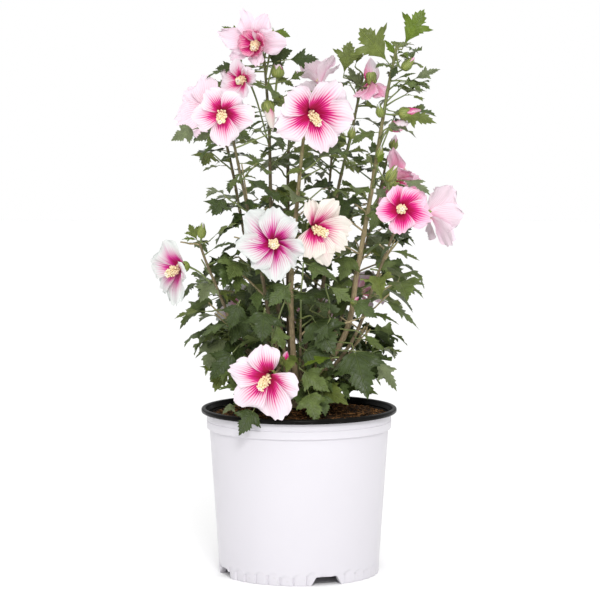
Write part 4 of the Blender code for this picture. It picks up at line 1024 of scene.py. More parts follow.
class Nodes:
    """Short names for the nodes of one tree."""

    def __init__(self, tree):
        self.tree = tree

    def feed(self, made, key, value):
        """Links a socket, or sets a constant."""
        if isinstance(value, bpy.types.NodeSocket):
            self.tree.links.new(value, made.inputs[key])
        else:
            made.inputs[key].default_value = value

    def add(self, kind, inputs=None, **settings):
        made = self.tree.nodes.new("ShaderNode" + kind)
        for key, value in settings.items():
            setattr(made, key, value)
        for key, value in (inputs or {}).items():
            self.feed(made, key, value)
        return made.outputs

    def math(self, operation, *values):
        return self.add("Math", dict(enumerate(values)), operation=operation)[0]

    def plus(self, *values):
        return self.math("ADD", *values)

    def times(self, *values):
        return self.math("MULTIPLY", *values)

    def apart(self, *values):
        """How far two values lie apart."""
        return self.math("ABSOLUTE", self.math("SUBTRACT", *values))

    def band(self, value, low, high, first=0.0, last=1.0):
        """A smooth step: the first value under low, the last over high."""
        inputs = {"Value": value, "From Min": low, "From Max": high, "To Min": first, "To Max": last}
        return self.add("MapRange", inputs, interpolation_type="SMOOTHSTEP")["Result"]

    def blend(self, share, first, last):
        ends = [end if isinstance(end, bpy.types.NodeSocket) else (*end, 1.0) for end in (first, last)]
        return self.add("Mix", {0: share, 6: ends[0], 7: ends[1]}, data_type="RGBA")[2]

    def ramp(self, share, stops):
        """Colours along a share, from stops of (position, colour)."""
        made = self.add("ValToRGB", {"Fac": share})[0]
        elements = made.node.color_ramp.elements
        while len(elements) < len(stops):
            elements.new(0.5)
        for element, (position, colour) in zip(elements, stops):
            element.position, element.color = position, (*colour, 1.0)
        return made

    def noise(self, vector, scale, detail=3.0, roughness=0.5):
        inputs = {"Vector": vector, "Scale": scale, "Detail": detail, "Roughness": roughness}
        return self.add("TexNoise", inputs)["Fac"]

    def place(self, scale=(1.0, 1.0, 1.0)):
        """The place on the object, drawn out by the scale."""
        return self.add("Mapping", {"Vector": self.add("TexCoord")["Object"], "Scale": scale})[0]

    def pattern(self, scale=(1.0, 1.0, 1.0)):
        """The place on the piece's own map."""
        return self.add("Mapping", {"Vector": self.add("UVMap", uv_map=MAP)[0], "Scale": scale})[0]

    def split(self, vector):
        return self.add("SeparateXYZ", {0: vector})


class Effect(Nodes):
    """A node group that several materials share, with its named inputs and outputs."""

    def __init__(self, name, **inputs):
        super().__init__(bpy.data.node_groups.new(name, "ShaderNodeTree"))
        for socket, value in inputs.items():
            self.socket(socket, "INPUT").default_value = value
        self.given = self.tree.nodes.new("NodeGroupInput").outputs

    def socket(self, name, way):
        return self.tree.interface.new_socket(name=name, in_out=way, socket_type="NodeSocketFloat")

    def give(self, **outputs):
        for socket in outputs:
            self.socket(socket, "OUTPUT")
        result = self.tree.nodes.new("NodeGroupOutput")
        for socket, value in outputs.items():
            self.feed(result, socket, value)
        return self.tree


class Finish(Nodes):
    """A new material and its shader. Constants go straight on the shader's own sockets."""

    def __init__(self, name, roughness, **values):
        self.made = bpy.data.materials.new(name)
        self.made.use_nodes = True
        super().__init__(self.made.node_tree)
        self.shader = self.tree.nodes["Principled BSDF"]
        self.wear(Roughness=roughness, **values)

    def wear(self, **values):
        for key, value in values.items():
            self.feed(self.shader, key.replace("_", " "), value)

    def use(self, group, **inputs):
        return self.add("Group", inputs, node_tree=group)

    def done(self, colour, height, reach, strength, **values):
        """The material, with its colour, what else varies, and a bump of this reach."""
        bump = self.add("Bump", {"Height": height, "Distance": reach, "Strength": strength})[0]
        self.wear(Base_Color=colour, Normal=bump, **values)
        return self.made


@functools.cache
def leaf_veins():
    """The midrib, the veins that fan out into the lobes, and the side veins of a leaf."""
    group = Effect("leaf_veins", Width=1.0)
    place = group.pattern()
    across, run, _ = group.split(place)
    off, wide = group.apart(across, 0.5), group.given["Width"]
    lines = [group.band(group.math("DIVIDE", off, wide), 0.004, 0.015, 1.0, 0.0)]
    for turn in (math.radians(30.0), math.radians(54.0)):
        gap = group.apart(group.times(off, math.cos(turn)), group.times(run, math.sin(turn)))
        lines.append(group.band(group.math("DIVIDE", gap, wide), 0.003, 0.013, 1.0, 0.0))
    slant = group.math("SUBTRACT", run, group.times(off, 1.15))
    gap = group.apart(group.math("FRACT", group.times(slant, 8.0)), 0.5)
    veins = group.times(group.band(gap, 0.03, 0.13, 1.0, 0.0), 0.5)
    for line in lines:
        veins = group.math("MAXIMUM", veins, line)
    height = group.plus(group.times(veins, -0.7), group.times(group.noise(place, 16.0, 4.0), 0.6))
    return group.give(Veins=veins, Height=height, Mottle=group.noise(place, 4.5, 2.0))


@functools.cache
def petal_streaks():
    """How deep the colour runs from the eye, the fine streaks that fan out of it, and the petal's ribs."""
    group = Effect("petal_streaks", Spread=0.13, Lines=14.0)
    place = group.pattern()
    across, run, _ = group.split(place)
    broad = group.noise(group.pattern((6.0, 0.6, 1.0)), 1.0, 1.0)
    fine = group.noise(group.pattern((26.0, 1.8, 1.0)), 1.0, 2.0)
    bend = group.times(group.noise(place, 3.0, 1.0), 1.6)
    count = group.plus(group.times(across, group.given["Lines"]), bend)
    tooth = group.times(group.apart(group.math("FRACT", count), 0.5), 2.0)
    ragged = group.plus(group.times(fine, -1.6), group.times(broad, -2.2))
    shift = group.plus(group.plus(tooth, ragged), 1.4)
    aside = group.apart(across, 0.5)
    flame = group.times(group.times(aside, aside), 1.7)
    depth = group.plus(run, group.plus(group.times(shift, group.given["Spread"]), flame))
    streaks = group.times(group.band(tooth, 0.10, 0.60, 1.0, 0.0), group.band(fine, 0.35, 0.55, 0.35, 1.0))
    fade = group.times(group.band(run, 0.42, 0.88, 1.0, 0.0), group.band(run, 0.12, 0.30, 0.3, 1.0))
    ribs = group.plus(group.times(tooth, 0.6), group.times(fine, 0.6))
    return group.give(Depth=depth, Streaks=group.times(streaks, fade), Ribs=ribs)


@functools.cache
def bark_grain():
    """Drawn-out fibres and pale specks of young bark."""
    group = Effect("bark_grain", Scale=1.0)
    grain = group.noise(group.place((1.0, 1.0, 0.22)), group.times(group.given["Scale"], 620.0), 4.0, 0.62)
    place = group.place()
    cells = group.add("TexVoronoi", {"Vector": place, "Scale": 210.0})["Distance"]
    specks = group.band(cells, 0.10, 0.26, 1.0, 0.0)
    return group.give(Grain=grain, Specks=specks, Blotches=group.noise(place, 60.0))


def white_plastic(settings):
    """Moulded white plastic, with a little dust over the foot."""
    paint = Finish("white_plastic", 0.34, Specular_IOR_Level=0.5)
    place, wall = paint.place(), settings.wall_colour
    clean = paint.blend(paint.band(paint.noise(place, 9.0), 0.35, 0.7, 0.0, 0.5), wall, toned(wall, 0.965))
    low = paint.band(paint.split(place)[2], 0.002, 0.022, 1.0, 0.0)
    dust = paint.times(paint.times(paint.band(paint.noise(place, 160.0, 5.0, 0.6), 0.56, 0.70), low), 0.30)
    rough = paint.band(paint.noise(place, 45.0, 4.0), 0.3, 0.7, 0.30, 0.40)
    colour = paint.blend(dust, clean, (0.50, 0.47, 0.44))
    return paint.done(colour, paint.noise(place, 700.0, 2.0), 0.00004, 0.35, Roughness=rough)


def black_plastic(settings):
    """Thin black plastic, dusty in places."""
    paint = Finish("black_plastic", 0.3, Specular_IOR_Level=0.07)
    place, rim = paint.place(), settings.rim_colour
    cloud = paint.noise(place, 30.0, 4.0)
    colour = paint.blend(paint.band(cloud, 0.4, 0.75), rim, toned(rim, 1.7, (0.002, 0.002, 0.002)))
    rough = paint.band(cloud, 0.3, 0.7, 0.24, 0.38)
    return paint.done(colour, paint.noise(place, 420.0), 0.00006, 0.4, Roughness=rough)


# Finishes in two colours that a noise deals out: roughness and specular level; the noise's scale, detail and
# roughness; the band of it between the colours; and the reach and strength of the bump.
SPECKLES = {
    "mix": (0.90, 0.15, (520.0, 5.0, 0.65), (0.42, 0.72), (0.0005, 0.8)),
    "stalk": (0.55, 0.5, (90.0, 3.0, 0.5), (0.38, 0.64), (0.0002, 0.5)),
    "column": (0.60, 0.5, (1400.0, 2.0, 0.5), (0.40, 0.62), (0.0002, 0.6)),
    "calyx": (0.55, 0.5, (1.0, 2.0, 0.5), (0.44, 0.60), (0.0003, 0.5)),
}


def speckled(name, kind, colour, bright):
    """Mix, stalks, columns and calyxes. Stalks have fine fibres, and calyxes stripes that run up them."""
    roughness, specular, grain, edges, relief = SPECKLES[kind]
    paint = Finish(name, roughness, Specular_IOR_Level=specular)
    speck = paint.noise(paint.pattern((38.0, 1.4, 1.0)) if kind == "calyx" else paint.place(), *grain)
    height = paint.noise(paint.place((1.0, 1.0, 0.3)), 900.0, 2.0) if kind == "stalk" else speck
    return paint.done(paint.blend(paint.band(speck, *edges), colour, bright), height, *relief)


def bark_material(name, settings, shade=1.0):
    """Young bark: tan below, olive in the middle and green towards the tips."""
    paint = Finish(name, 0.72)
    grain = paint.use(bark_grain())
    stray = paint.times(paint.math("SUBTRACT", grain["Blotches"], 0.5), 0.16)
    level = paint.plus(paint.split(paint.place())[2], stray)
    colours = (settings.bark_low, settings.bark_middle, settings.bark_high, settings.shoot_colour)
    stops = [(spot, toned(colour, shade)) for spot, colour in zip((0.0, 0.30, 0.62, 1.0), colours)]
    base = paint.ramp(paint.band(level, 0.25, 0.80), stops)
    dark = paint.blend(paint.band(grain["Grain"], 0.38, 0.66, 0.42, 0.0), base, (0.060, 0.042, 0.022))
    colour = paint.blend(paint.times(grain["Specks"], 0.38), dark, (0.42, 0.36, 0.24))
    return paint.done(colour, grain["Grain"], 0.0004, 0.8)


def leaf_material(name, settings):
    """A leaf's tint, with paler veins above and a greyer, duller underside."""
    colour = tuple(getattr(settings, "leaf_" + name))
    paint = Finish("leaf_" + name, 0.45, Specular_IOR_Level=0.27)
    veins = paint.use(leaf_veins())
    body = paint.blend(paint.band(veins["Mottle"], 0.32, 0.70), toned(colour, 0.82), toned(colour, 1.18))
    strength = paint.times(veins["Veins"], settings.vein_strength)
    upper = paint.blend(strength, body, toned(colour, 1.5, (0.035, 0.040, 0.012)))
    under = paint.blend(0.55, upper, toned(colour, 1.2, (0.035, 0.035, 0.035)))
    both = paint.blend(paint.add("NewGeometry")["Backfacing"], upper, under)
    rough = paint.band(veins["Mottle"], 0.3, 0.7, 0.34, 0.52)
    return paint.done(both, veins["Height"], 0.0014, 0.8, Roughness=rough)


def petal_stops(name, settings):
    """Stops of a petal's colour, from the eye to the margin."""
    eye, throat = tuple(settings.eye_colour), tuple(settings.throat_colour)
    margin = tuple(getattr(settings, name + "_colour", CRIMSON_MARGIN))
    if name == "white":
        eye = tuple(a * b for a, b in zip(eye, WHITE_EYE))
        throat = tuple(a * b for a, b in zip(throat, WHITE_THROAT))
    pink, blush = (tuple(share * a + (1 - share) * b for a, b in zip(throat, margin)) for share in (0.42, 0.10))
    deep, middle, far = PALETTES[name][:3]
    return (0.0, eye), (deep * 0.74, eye), (deep, throat), (middle, pink), (far, blush), (1.0, margin)


def petal_material(name, settings):
    """Petal: its colours from the eye to the margin, dark streaks that fan out of the eye, a paler back, and a
    painted glow.
    """
    *_, spread, glow = PALETTES[name]
    paint = Finish("petal_" + name, 0.55, Specular_IOR_Level=0.14, Sheen_Weight=0.05, Sheen_Roughness=0.6)
    streaks = paint.use(petal_streaks(), Spread=spread)
    stops = petal_stops(name, settings)
    dark = paint.times(streaks["Streaks"], settings.streak_strength)
    front = paint.blend(dark, paint.ramp(streaks["Depth"], stops), (0.42, 0.004, 0.120))
    back = paint.blend(0.60, front, stops[-1][1])
    both = paint.blend(paint.add("NewGeometry")["Backfacing"], front, back)
    # Painted glow: the petals' front colours glow, standing in for light that shines through them.
    paint.wear(Emission_Color=front, Emission_Strength=PAINTED_PETAL_GLOW * glow)
    return paint.done(both, streaks["Ribs"], 0.0006, 0.5)


# ---- Pot and mix ----

# Heights of the foot's scalloped skirt, of the step under the band and of the groove round it.
SKIRT, STEP_LOW, GROOVE_HEIGHT = 0.0215, 0.2065, 0.2203
WALL, WALL_EASE = 0.0016, 0.0008
FLUTE_ROWS = (0.003, 0.0065, 0.010, 0.0125, 0.0145, 0.016, 0.0175, 0.0188, 0.020, 0.0208, 0.0215)
FLUTES, FLUTE_SIDES = 38, 10
# Scallops: how high they reach and how much that differs, how round their tops are, over what height they fade out,
# and what share of one its steep side takes.
FLUTE_REACH, FLUTE_STRAY, FLUTE_CROWN, FLUTE_FADE, FLUTE_STEEP = 0.0180, 0.0022, 0.34, 0.0030, 0.11
NOTCHES, NOTCH_TURN, NOTCH_LOW = 4, math.radians(-70.0), -0.010
# The gate through the wall and the drain behind it: width at the foot and on top, height, and how far out from the
# notch's inner end each runs.
NOTCH_INSET = 0.019
GATE, DRAIN = (0.045, 0.031, 0.0125, 0.029), (0.026, 0.026, 0.024, 0.007)


def shell_profile(size):
    """The white pot's section: foot ring, tapered wall, step, grooved band, and the inside of its wall."""
    foot, wall, band, top = size.foot_radius, size.wall_top_radius, size.band_radius, size.band_top
    outer = [(0.0, 0.0), (0.046, 0.0), (0.055, 0.014), (foot - 0.012, 0.014), (foot - 0.0084, 0.001)]
    outer += corner(0.0010, (foot - 0.0070, 0.0010), 200, 270, 3)
    outer += corner(0.0012, (foot - 0.0012, 0.0012), 270, 360, 4)
    outer += [(foot + WALL_EASE * rise / SKIRT, rise) for rise in FLUTE_ROWS]
    outer += [(foot + WALL_EASE + (wall - foot - WALL_EASE) * share, SKIRT + (STEP_LOW - SKIRT) * share)
              for share in (0.03, 0.2, 0.4, 0.6, 0.8, 0.97, 1.0)]
    outer += corner(0.0010, (wall + 0.0010, STEP_LOW + 0.0008), 180, 100, 3)
    outer += corner(0.0012, (band - 0.0012, STEP_LOW + 0.0032), 280, 360, 4)
    outer += [(band - dip, GROOVE_HEIGHT + rise)
              for dip, rise in ((0.0, -0.0010), (0.0007, -0.0003), (0.0007, 0.0003), (0.0, 0.0010))]
    return outer + [
        (band, top), (band - WALL, top), (band - WALL, 0.2107), (wall - WALL, 0.2073), (foot - WALL, SKIRT + WALL),
        (foot - 0.0061, 0.0156), (0.0542, 0.0156), (0.0452, 0.0016), (0.0, 0.0016)]


def press_flutes(obj, foot_radius, depth):
    """Presses a row of scallops into the foot of the wall: each dips at one side, with a rounded top."""
    for vertex in obj.data.vertices:
        radial = math.hypot(vertex.co.x, vertex.co.y)
        if vertex.co.z > SKIRT + 0.0004 or radial < foot_radius - 0.0028:
            continue
        turn = math.atan2(vertex.co.y, vertex.co.x) * FLUTES / WHOLE_TURN
        phase = turn % 1.0
        reach = FLUTE_REACH + FLUTE_STRAY * math.sin(math.floor(turn) * 1.9)
        top = reach * (1.0 - FLUTE_CROWN * (2 * phase - 1.0) ** 2)
        fade = min(1.0, max(0.0, (top - vertex.co.z) / FLUTE_FADE))
        fall = 0.72 * (1.0 - (phase - FLUTE_STEEP) / (1.0 - FLUTE_STEEP)) ** 1.5 if phase >= FLUTE_STEEP else 1.0
        slope = fall * min(1.0, phase / 0.09)
        dip = depth * slope * fade * (3 - 2 * fade) * fade
        vertex.co.x *= 1.0 - dip / radial
        vertex.co.y *= 1.0 - dip / radial


def cut_notches(obj, foot_radius, foot_width, top_width, height, reach):
    """Cuts rounded trapezoids that run outwards from the inner end of each notch."""
    near = foot_radius - NOTCH_INSET
    low_width = top_width + (foot_width - top_width) * (height - NOTCH_LOW) / height
    made = bmesh.new()
    for notch in range(NOTCHES):
        cube = bmesh.ops.create_cube(made, size=1.0)["verts"]
        for vertex in cube:
            width, level = (low_width, NOTCH_LOW) if vertex.co.z < 0 else (top_width, height)
            vertex.co = Vector((near + (0.5 + vertex.co.x) * reach, vertex.co.y * width, level))
        turn = Matrix.Rotation(NOTCH_TURN + notch * WHOLE_TURN / NOTCHES, 4, "Z")
        bmesh.ops.transform(made, matrix=turn, verts=cube)
    bmesh.ops.bevel(made, geom=made.edges, offset=0.0012, segments=3, affect="EDGES", profile=0.5, material=-1)
    cutter = bmesh_object("notch_cutter", made)
    modifier = obj.modifiers.new("Cut", "BOOLEAN")
    modifier.operation, modifier.solver, modifier.object = "DIFFERENCE", "EXACT", cutter
    keep_evaluated(obj)
    bpy.data.objects.remove(cutter)


def make_pot_shell(scene):
    """The white outer pot."""
    size = scene.hibiscus_pot
    shell = turned("pot_shell", shell_profile(size), FLUTES * FLUTE_SIDES)
    press_flutes(shell, size.foot_radius, size.flute_depth)
    cut_notches(shell, size.foot_radius, *GATE)
    cut_notches(shell, size.foot_radius, *DRAIN)
    settle(shell, ("pot",), [white_plastic(scene.hibiscus_colours)], smooth=28)


def make_pot_liner(scene):
    """The black inner pot, with the rim that it rolls out over the band."""
    size = scene.hibiscus_pot
    rim, top, mouth = size.rim_radius, size.rim_height, size.mouth_radius
    foot, wall, band, edge = size.foot_radius, size.wall_top_radius, size.band_radius, size.band_top
    outer = [
        (0.0, 0.0019), (0.0450, 0.0019), (0.0540, 0.0159), (foot - 0.0064, 0.0159), (foot - 0.0019, SKIRT + 0.0019),
        (wall - 0.0019, STEP_LOW + 0.0010), (band - 0.0019, STEP_LOW + 0.0044), (band - 0.0019, edge + 0.0006),
        (band + 0.0010, edge + 0.0006)]
    roll = corner(0.0026, (rim - 0.0026, top - size.rim_roll + 0.0026), 275, 360, 7)
    roll += corner(0.0032, (rim - 0.0032, top - 0.0032), 0, 92, 8)
    roll += corner(0.0024, (mouth + 0.0024, top - 0.0024), 90, 180, 6)
    inner = [
        (mouth - 0.0004, top - 0.0042), (band - 0.0032, edge - 0.0034), (band - 0.0032, 0.2125),
        (wall - 0.0032, 0.2085), (foot - 0.0032, SKIRT + 0.0032), (foot - 0.0077, 0.0172), (0.0532, 0.0172),
        (0.0442, 0.0032), (0.0, 0.0032)]
    liner = turned("pot_liner", outer + roll + inner, 192)
    cut_notches(liner, size.foot_radius, *DRAIN)
    settle(liner, ("pot_lining",), [black_plastic(scene.hibiscus_colours)], smooth=32)


# Bed of the mix: its radius, its height at the edge, and how deep its edge goes down.
BED_RADIUS, BED_EDGE, BED_DEPTH, BED_RINGS = 0.1287, 0.2270, 0.012, 30
# Where the dome falls off, and the lumps as (height, scale).
DOME_RADIUS, DOME_WIDTH, LUMPS = 0.1285, 0.072, ((0.0020, 45.0), (0.0012, 130.0))
CHIPS, CHIP_LENGTHS, CHIP_ODDS = 1750, (0.003, 0.004, 0.005, 0.007, 0.009, 0.013), (0.34, 0.42, 0.24)
CHIP_WIDTHS, CHIP_THICKNESSES, CHIP_TILT = (0.0012, 0.0040), (0.0008, 0.0020), 0.22
FIBRES, FIBRE_RADII = 260, [0.00016, 0.00022, 0.00022, 0.0002, 0.00012]


def bed_height(x, y):
    """The height of the mix here, a little domed and lumpy."""
    inside = DOME_RADIUS - math.hypot(x, y)
    rise = BED_EDGE + (SOIL_TOP - BED_EDGE) * min(1.0, max(0.0, inside / DOME_WIDTH))
    calm = min(1.0, max(0.15, inside / 0.012))
    first, second = (reach * noise.noise(Vector((x, y, 0.0)) * scale) for reach, scale in LUMPS)
    return rise + calm * (first + second) - 0.0006


def shard_template():
    """A splinter of bark, as arrays: a five-sided bar that narrows to a worn end."""
    made = bmesh.new()
    bmesh.ops.create_cone(made, cap_ends=True, segments=5, radius1=0.5, radius2=0.28, depth=1.0)
    long = [edge for edge in made.edges if abs(edge.verts[0].co.z - edge.verts[1].co.z) > 0.5]
    bmesh.ops.subdivide_edges(made, edges=long, cuts=1)
    return arrays_of(made)


def lay_chips(heap, dice):
    template, faces = shard_template()
    for _ in range(CHIPS):
        radial = BED_RADIUS * 0.985 * math.sqrt(dice.uniform(0.02, 1.0))
        turn = dice.uniform(0.0, WHOLE_TURN)
        x, y = radial * math.cos(turn), radial * math.sin(turn)
        long = dice.choice(CHIP_LENGTHS) * dice.uniform(0.8, 1.2)
        long = min(long, 2 * (BED_RADIUS - radial) + 0.003)
        wide = min(long * 0.6, dice.uniform(*CHIP_WIDTHS))
        thick = dice.uniform(*CHIP_THICKNESSES)
        along = way_of(dice.uniform(0.0, WHOLE_TURN), dice.gauss(0.0, CHIP_TILT))
        up = square_to(along, Vector((dice.gauss(0, 0.3), dice.gauss(0, 0.3), 1.0)))
        jolt = np.array([[dice.uniform(-0.18, 0.18) for _ in range(3)] for _ in range(len(template))])
        shape = template * np.array([wide, thick, long]) + jolt * np.array([wide, thick, thick])
        centre = Vector((x, y, bed_height(x, y) + 0.25 * thick + dice.uniform(0, 0.0008)))
        slot = dice.choices((0, 1, 2), CHIP_ODDS)[0]
        heap.add(placed(shape, centre, up.cross(along), up, along), faces, slot, 0.5 + 0.4 * template[:, :2])


def fibre_runs(dice):
    runs = []
    for _ in range(FIBRES):
        radial = (BED_RADIUS - 0.014) * math.sqrt(dice.uniform(0.03, 1.0))
        turn, heading = dice.uniform(0.0, WHOLE_TURN), dice.uniform(0.0, WHOLE_TURN)
        spot = Vector((radial * math.cos(turn), radial * math.sin(turn), 0.0))
        points, reach = [], dice.uniform(0.0015, 0.0035)
        for _ in FIBRE_RADII:
            points.append(Vector((spot.x, spot.y, bed_height(spot.x, spot.y) + 0.0008 + dice.uniform(0, 0.0014))))
            heading += dice.uniform(-0.7, 0.7)
            spot += way_of(heading) * reach
        runs.append((points, FIBRE_RADII, dice.choice((0, 1, 1))))
    return runs


def make_mix(scene):
    """The bed of potting mix, with its chips and fibres."""
    settings = scene.hibiscus_colours
    dark, brown, tan = (tuple(colour) for colour in (settings.mix_dark, settings.mix_brown, settings.mix_tan))
    profile = [(BED_RADIUS * step / BED_RINGS, SOIL_TOP) for step in range(BED_RINGS + 1)]
    bed = turned("mix_bed", profile + [(BED_RADIUS, BED_EDGE - BED_DEPTH), (0.0, BED_EDGE - BED_DEPTH)], 144)
    for vertex in bed.data.vertices:
        if vertex.co.z > BED_EDGE:
            vertex.co.z = bed_height(vertex.co.x, vertex.co.y)
    settle(bed, ("soil",), [speckled("potting_mix", "mix", dark, brown)])

    dice, heap = random.Random("chips"), Heap()
    lay_chips(heap, dice)
    pairs = (("chip_dark", dark, brown), ("chip_brown", brown, tan), ("chip_tan", tan, toned(tan, 1.6)))
    tints = [speckled(name, "mix", *colours) for name, *colours in pairs]
    settle(heap.build("mix_chips", len(tints)), ("soil",), tints, smooth=40)
    settle(strands("mix_fibres", fibre_runs(dice), 0, tints[1:]), ("soil",))


# ---- Limbs and twigs ----

# Stems thinner than this at the foot have darker bark, this much darker.
THIN_STEM, THIN_SHADE = 0.0040, 0.52
# Distance between a limb's rings, and how wide and how high the swelling at each of its nodes is.
RING_STEP, KNOT_WIDTH, KNOT_SWELL = 0.0035, 0.0024, 0.20
# Collars where limbs leave the stool: the foot radius that a thick limb is above, how long the collars of thick and
# thin ones are, their steps, and how much wider than the limb they start and how much they narrow.
THICK_LIMB, COLLAR_LONG, COLLAR_SHORT, COLLAR_STEPS = 0.0026, 0.040, 0.024, 6
COLLAR_WIDE, COLLAR_NARROWING = 1.30, 0.42
STOOL_SINK, STOOL_SKIN = 0.004, 0.0009
# How far twigs and stalks stray from straight.
TWIG_STRAY, STALK_STRAY = 0.0016, 0.0020
# Twigs under this height are thicker, and those under the next one mostly have brown bark.
THICK_TWIGS, LOW_TWIG, HIGH_TWIG = 0.5, 0.0012, 0.00105
WOODY_TWIGS, WOODY_SHARE = 0.56, 0.7
# Leaf stalks above this height may be red, this share of them.
RED_STALKS, RED_SHARE = 0.42, 0.22
SPRIG_RADII = [0.0014, 0.0013, 0.0012, 0.0011, 0.0010]
BUD_STALK, BLOOM_STALK = (0.0013, 0.0004), (0.0012, 0.0006)
# Bracts: how many, their radii, how long they are under a flower, and for a bud's length.
BRACTS, BRACT_RADII, BRACT_LENGTH, BRACT_SHARE = 7, [0.0007, 0.0007, 0.0005, 0.00015], 0.013, 0.34


def limb_run(mass):
    """Points and radii along a limb, which swells a little at each of its nodes."""
    length = mass.path.length
    count = int(length / RING_STEP)
    runs, radii = [length * i / count for i in range(count + 1)], []
    for run in runs:
        radius = mass.foot_radius + (mass.tip_radius - mass.foot_radius) * run / length
        swell = sum(math.exp(-(((run - knot) / KNOT_WIDTH) ** 2)) for knot in mass.knots)
        radii.append(radius * (1.0 + KNOT_SWELL * min(swell, 1.2)))
    radii[-1] *= 0.6
    return [mass.path.at(run) for run in runs], radii, 0 if mass.foot_radius > THIN_STEM else 1


def collar_run(mass):
    """Where a limb flares into the stool."""
    long = COLLAR_LONG if mass.foot_radius > THICK_LIMB else COLLAR_SHORT
    points = [mass.path.at(long * step / COLLAR_STEPS) for step in range(COLLAR_STEPS + 1)]
    shares = [COLLAR_WIDE - COLLAR_NARROWING * step / COLLAR_STEPS for step in range(COLLAR_STEPS + 1)]
    return points, [mass.foot_radius * share for share in shares], 0


def make_limbs(scene):
    """Every stem and shoot from its heart to its tip, and the gnarled stool that they leave."""
    masses = grown().values()
    bark = bark_material("bark", scene.hibiscus_colours)
    barks = [bark, bark_material("thin_bark", scene.hibiscus_colours, THIN_SHADE)]
    wood = strands("limbs", [limb_run(mass) for mass in masses], 4, barks)
    roughen(wood, 0.00022, 620.0, 3.5)
    settle(wood, WOOD_NODES + FOLIAGE_NODES)

    foot = SOIL_TOP + GAP - STOOL_SINK
    profile = [(0.0, foot - 0.002), (0.0185, foot - 0.002)]
    profile += [(radius * 0.93, foot + (height + STOOL_SINK)) for radius, height in STOOL]
    stool = turned("stool", profile + [(0.0, foot + STOOL_TOP + 0.002)], 28)
    flare = strands("collars", [collar_run(mass) for mass in masses], 3)
    made = bmesh.new()
    made.from_mesh(stool.data)
    made.from_mesh(flare.data)
    made.to_mesh(stool.data)
    made.free()
    bpy.data.objects.remove(flare)
    remesh = stool.modifiers.new("Skin", "REMESH")
    remesh.mode, remesh.voxel_size = "VOXEL", STOOL_SKIN
    smooth = stool.modifiers.new("Ease", "SMOOTH")
    smooth.factor, smooth.iterations = 0.5, 5
    keep_evaluated(stool)
    roughen(stool, 0.0005, 260.0, 2.5, 3.0)
    settle(stool, ("trunk",), [bark])


def crooked(start, end, reach, dice, steps=4):
    """A twig's slightly crooked line between its ends."""
    axis = end - start
    side, up = frame_of(axis.normalized())
    points = []
    for step in range(steps + 1):
        share = step / steps
        sway = math.sin(math.pi * share) * reach
        aside = side * (sway * dice.uniform(-1, 1))
        points.append(start + axis * share + aside + up * (sway * dice.uniform(-0.6, 0.8)))
    return points


def bracts(neck, axis, length, dice):
    """The ring of thin bracts under a calyx."""
    side, up = frame_of(axis)
    runs = []
    for step in range(BRACTS):
        out = swing(side, up, step * WHOLE_TURN / BRACTS + dice.uniform(-0.2, 0.2))
        spread = dice.uniform(0.42, 0.62)
        bends = ((0.0, 0.0), (0.35, 0.22), (spread, 0.62), (spread, 1.0))
        points = [neck + out * (length * wide) + axis * (length * far) for wide, far in bends]
        runs.append((points, BRACT_RADII, 1))
    return runs


def make_twigs(scene):
    """The side twigs, the leaf stalks, and the stalks of flowers and buds with the bracts under them."""
    masses, dice, runs = grown(), random.Random("twigs"), []
    for mass in masses.values():
        for start, end in mass.twigs:
            points = crooked(start, end, TWIG_STRAY, dice)
            thick = LOW_TWIG if start.z < THICK_TWIGS else HIGH_TWIG
            radii = [thick * (1.25 - 0.35 * step / 4) for step in range(5)]
            runs.append((points, radii, 0 if start.z < WOODY_TWIGS and dice.random() < WOODY_SHARE else 1))
    for start, base, tip, _, _ in dressed_buds():
        axis = (tip - base).normalized()
        neck = base + axis * 0.001
        points = Path((start, start.lerp(base, 0.7) - axis * 0.004, neck), steps=3).points
        thin, more = BUD_STALK
        runs.append((points, [thin + more * step / (len(points) - 1) for step in range(len(points))], 1))
        runs += bracts(neck, axis, (tip - base).length * BRACT_SHARE, dice)
    for sprig in SPRIGS:
        start = springs_from(masses[sprig.mass], sprig.root)
        if (sprig.root - start).length > 0.003:
            runs.append((crooked(start, sprig.root, STALK_STRAY, dice), SPRIG_RADII, 1))
    for leaf, form, _, _ in dressed_leaves():
        red = leaf.root.z > RED_STALKS and dice.random() < RED_SHARE
        runs.append((*stalk_of(leaf, form), 2 if red else 1))
    for bloom, start, dress in open_flowers():
        eye, facing = eye_of(bloom, dress), face_of(bloom, dress)
        neck = eye - facing * (CALYX_LENGTH - 0.002)
        arch = start.lerp(neck, 0.6) + UPRIGHT * PEDICEL_ARCH - facing * 0.003
        points = Path((start, arch, neck), steps=5).points
        thin, more = BLOOM_STALK
        runs.append((points, [thin + more * (step / (len(points) - 1)) ** 2 for step in range(len(points))], 1))
        runs += bracts(neck, facing, BRACT_LENGTH, dice)
    settings = scene.hibiscus_colours
    tints = [speckled("twig_wood", "stalk", settings.bark_middle, settings.bark_high),
             speckled("stalk_green", "stalk", settings.stalk_colour, settings.shoot_colour),
             speckled("stalk_red", "stalk", settings.stalk_red, settings.stalk_colour)]
    settle(strands("twigs", runs, 1, tints), FOLIAGE_NODES)


# ---- Leaves ----

Form = namedtuple("Form", "bend fold wave twist width phase")
# The least and most of a set leaf's form, and of a seeded one's.
SPRIG_FORM = ((0.35, 0.8), (0.10, 0.35), (0.08, 0.20), (-0.3, 0.3))
LEAF_FORM = ((0.5, 1.35), (0.15, 0.62), (0.10, 0.30), (-0.6, 0.6), (0.88, 1.10))
# Outlines by length: the least length, the outlines and how likely each is.
OUTLINES = (
    (0.062, (BROAD, WEDGE), (0.85, 0.15)),
    (0.044, (BROAD, WEDGE, NARROW), (0.35, 0.35, 0.30)),
    (0.0, (NARROW, WEDGE, SMALL), (0.40, 0.25, 0.35)),
)
WAVES = 2.6
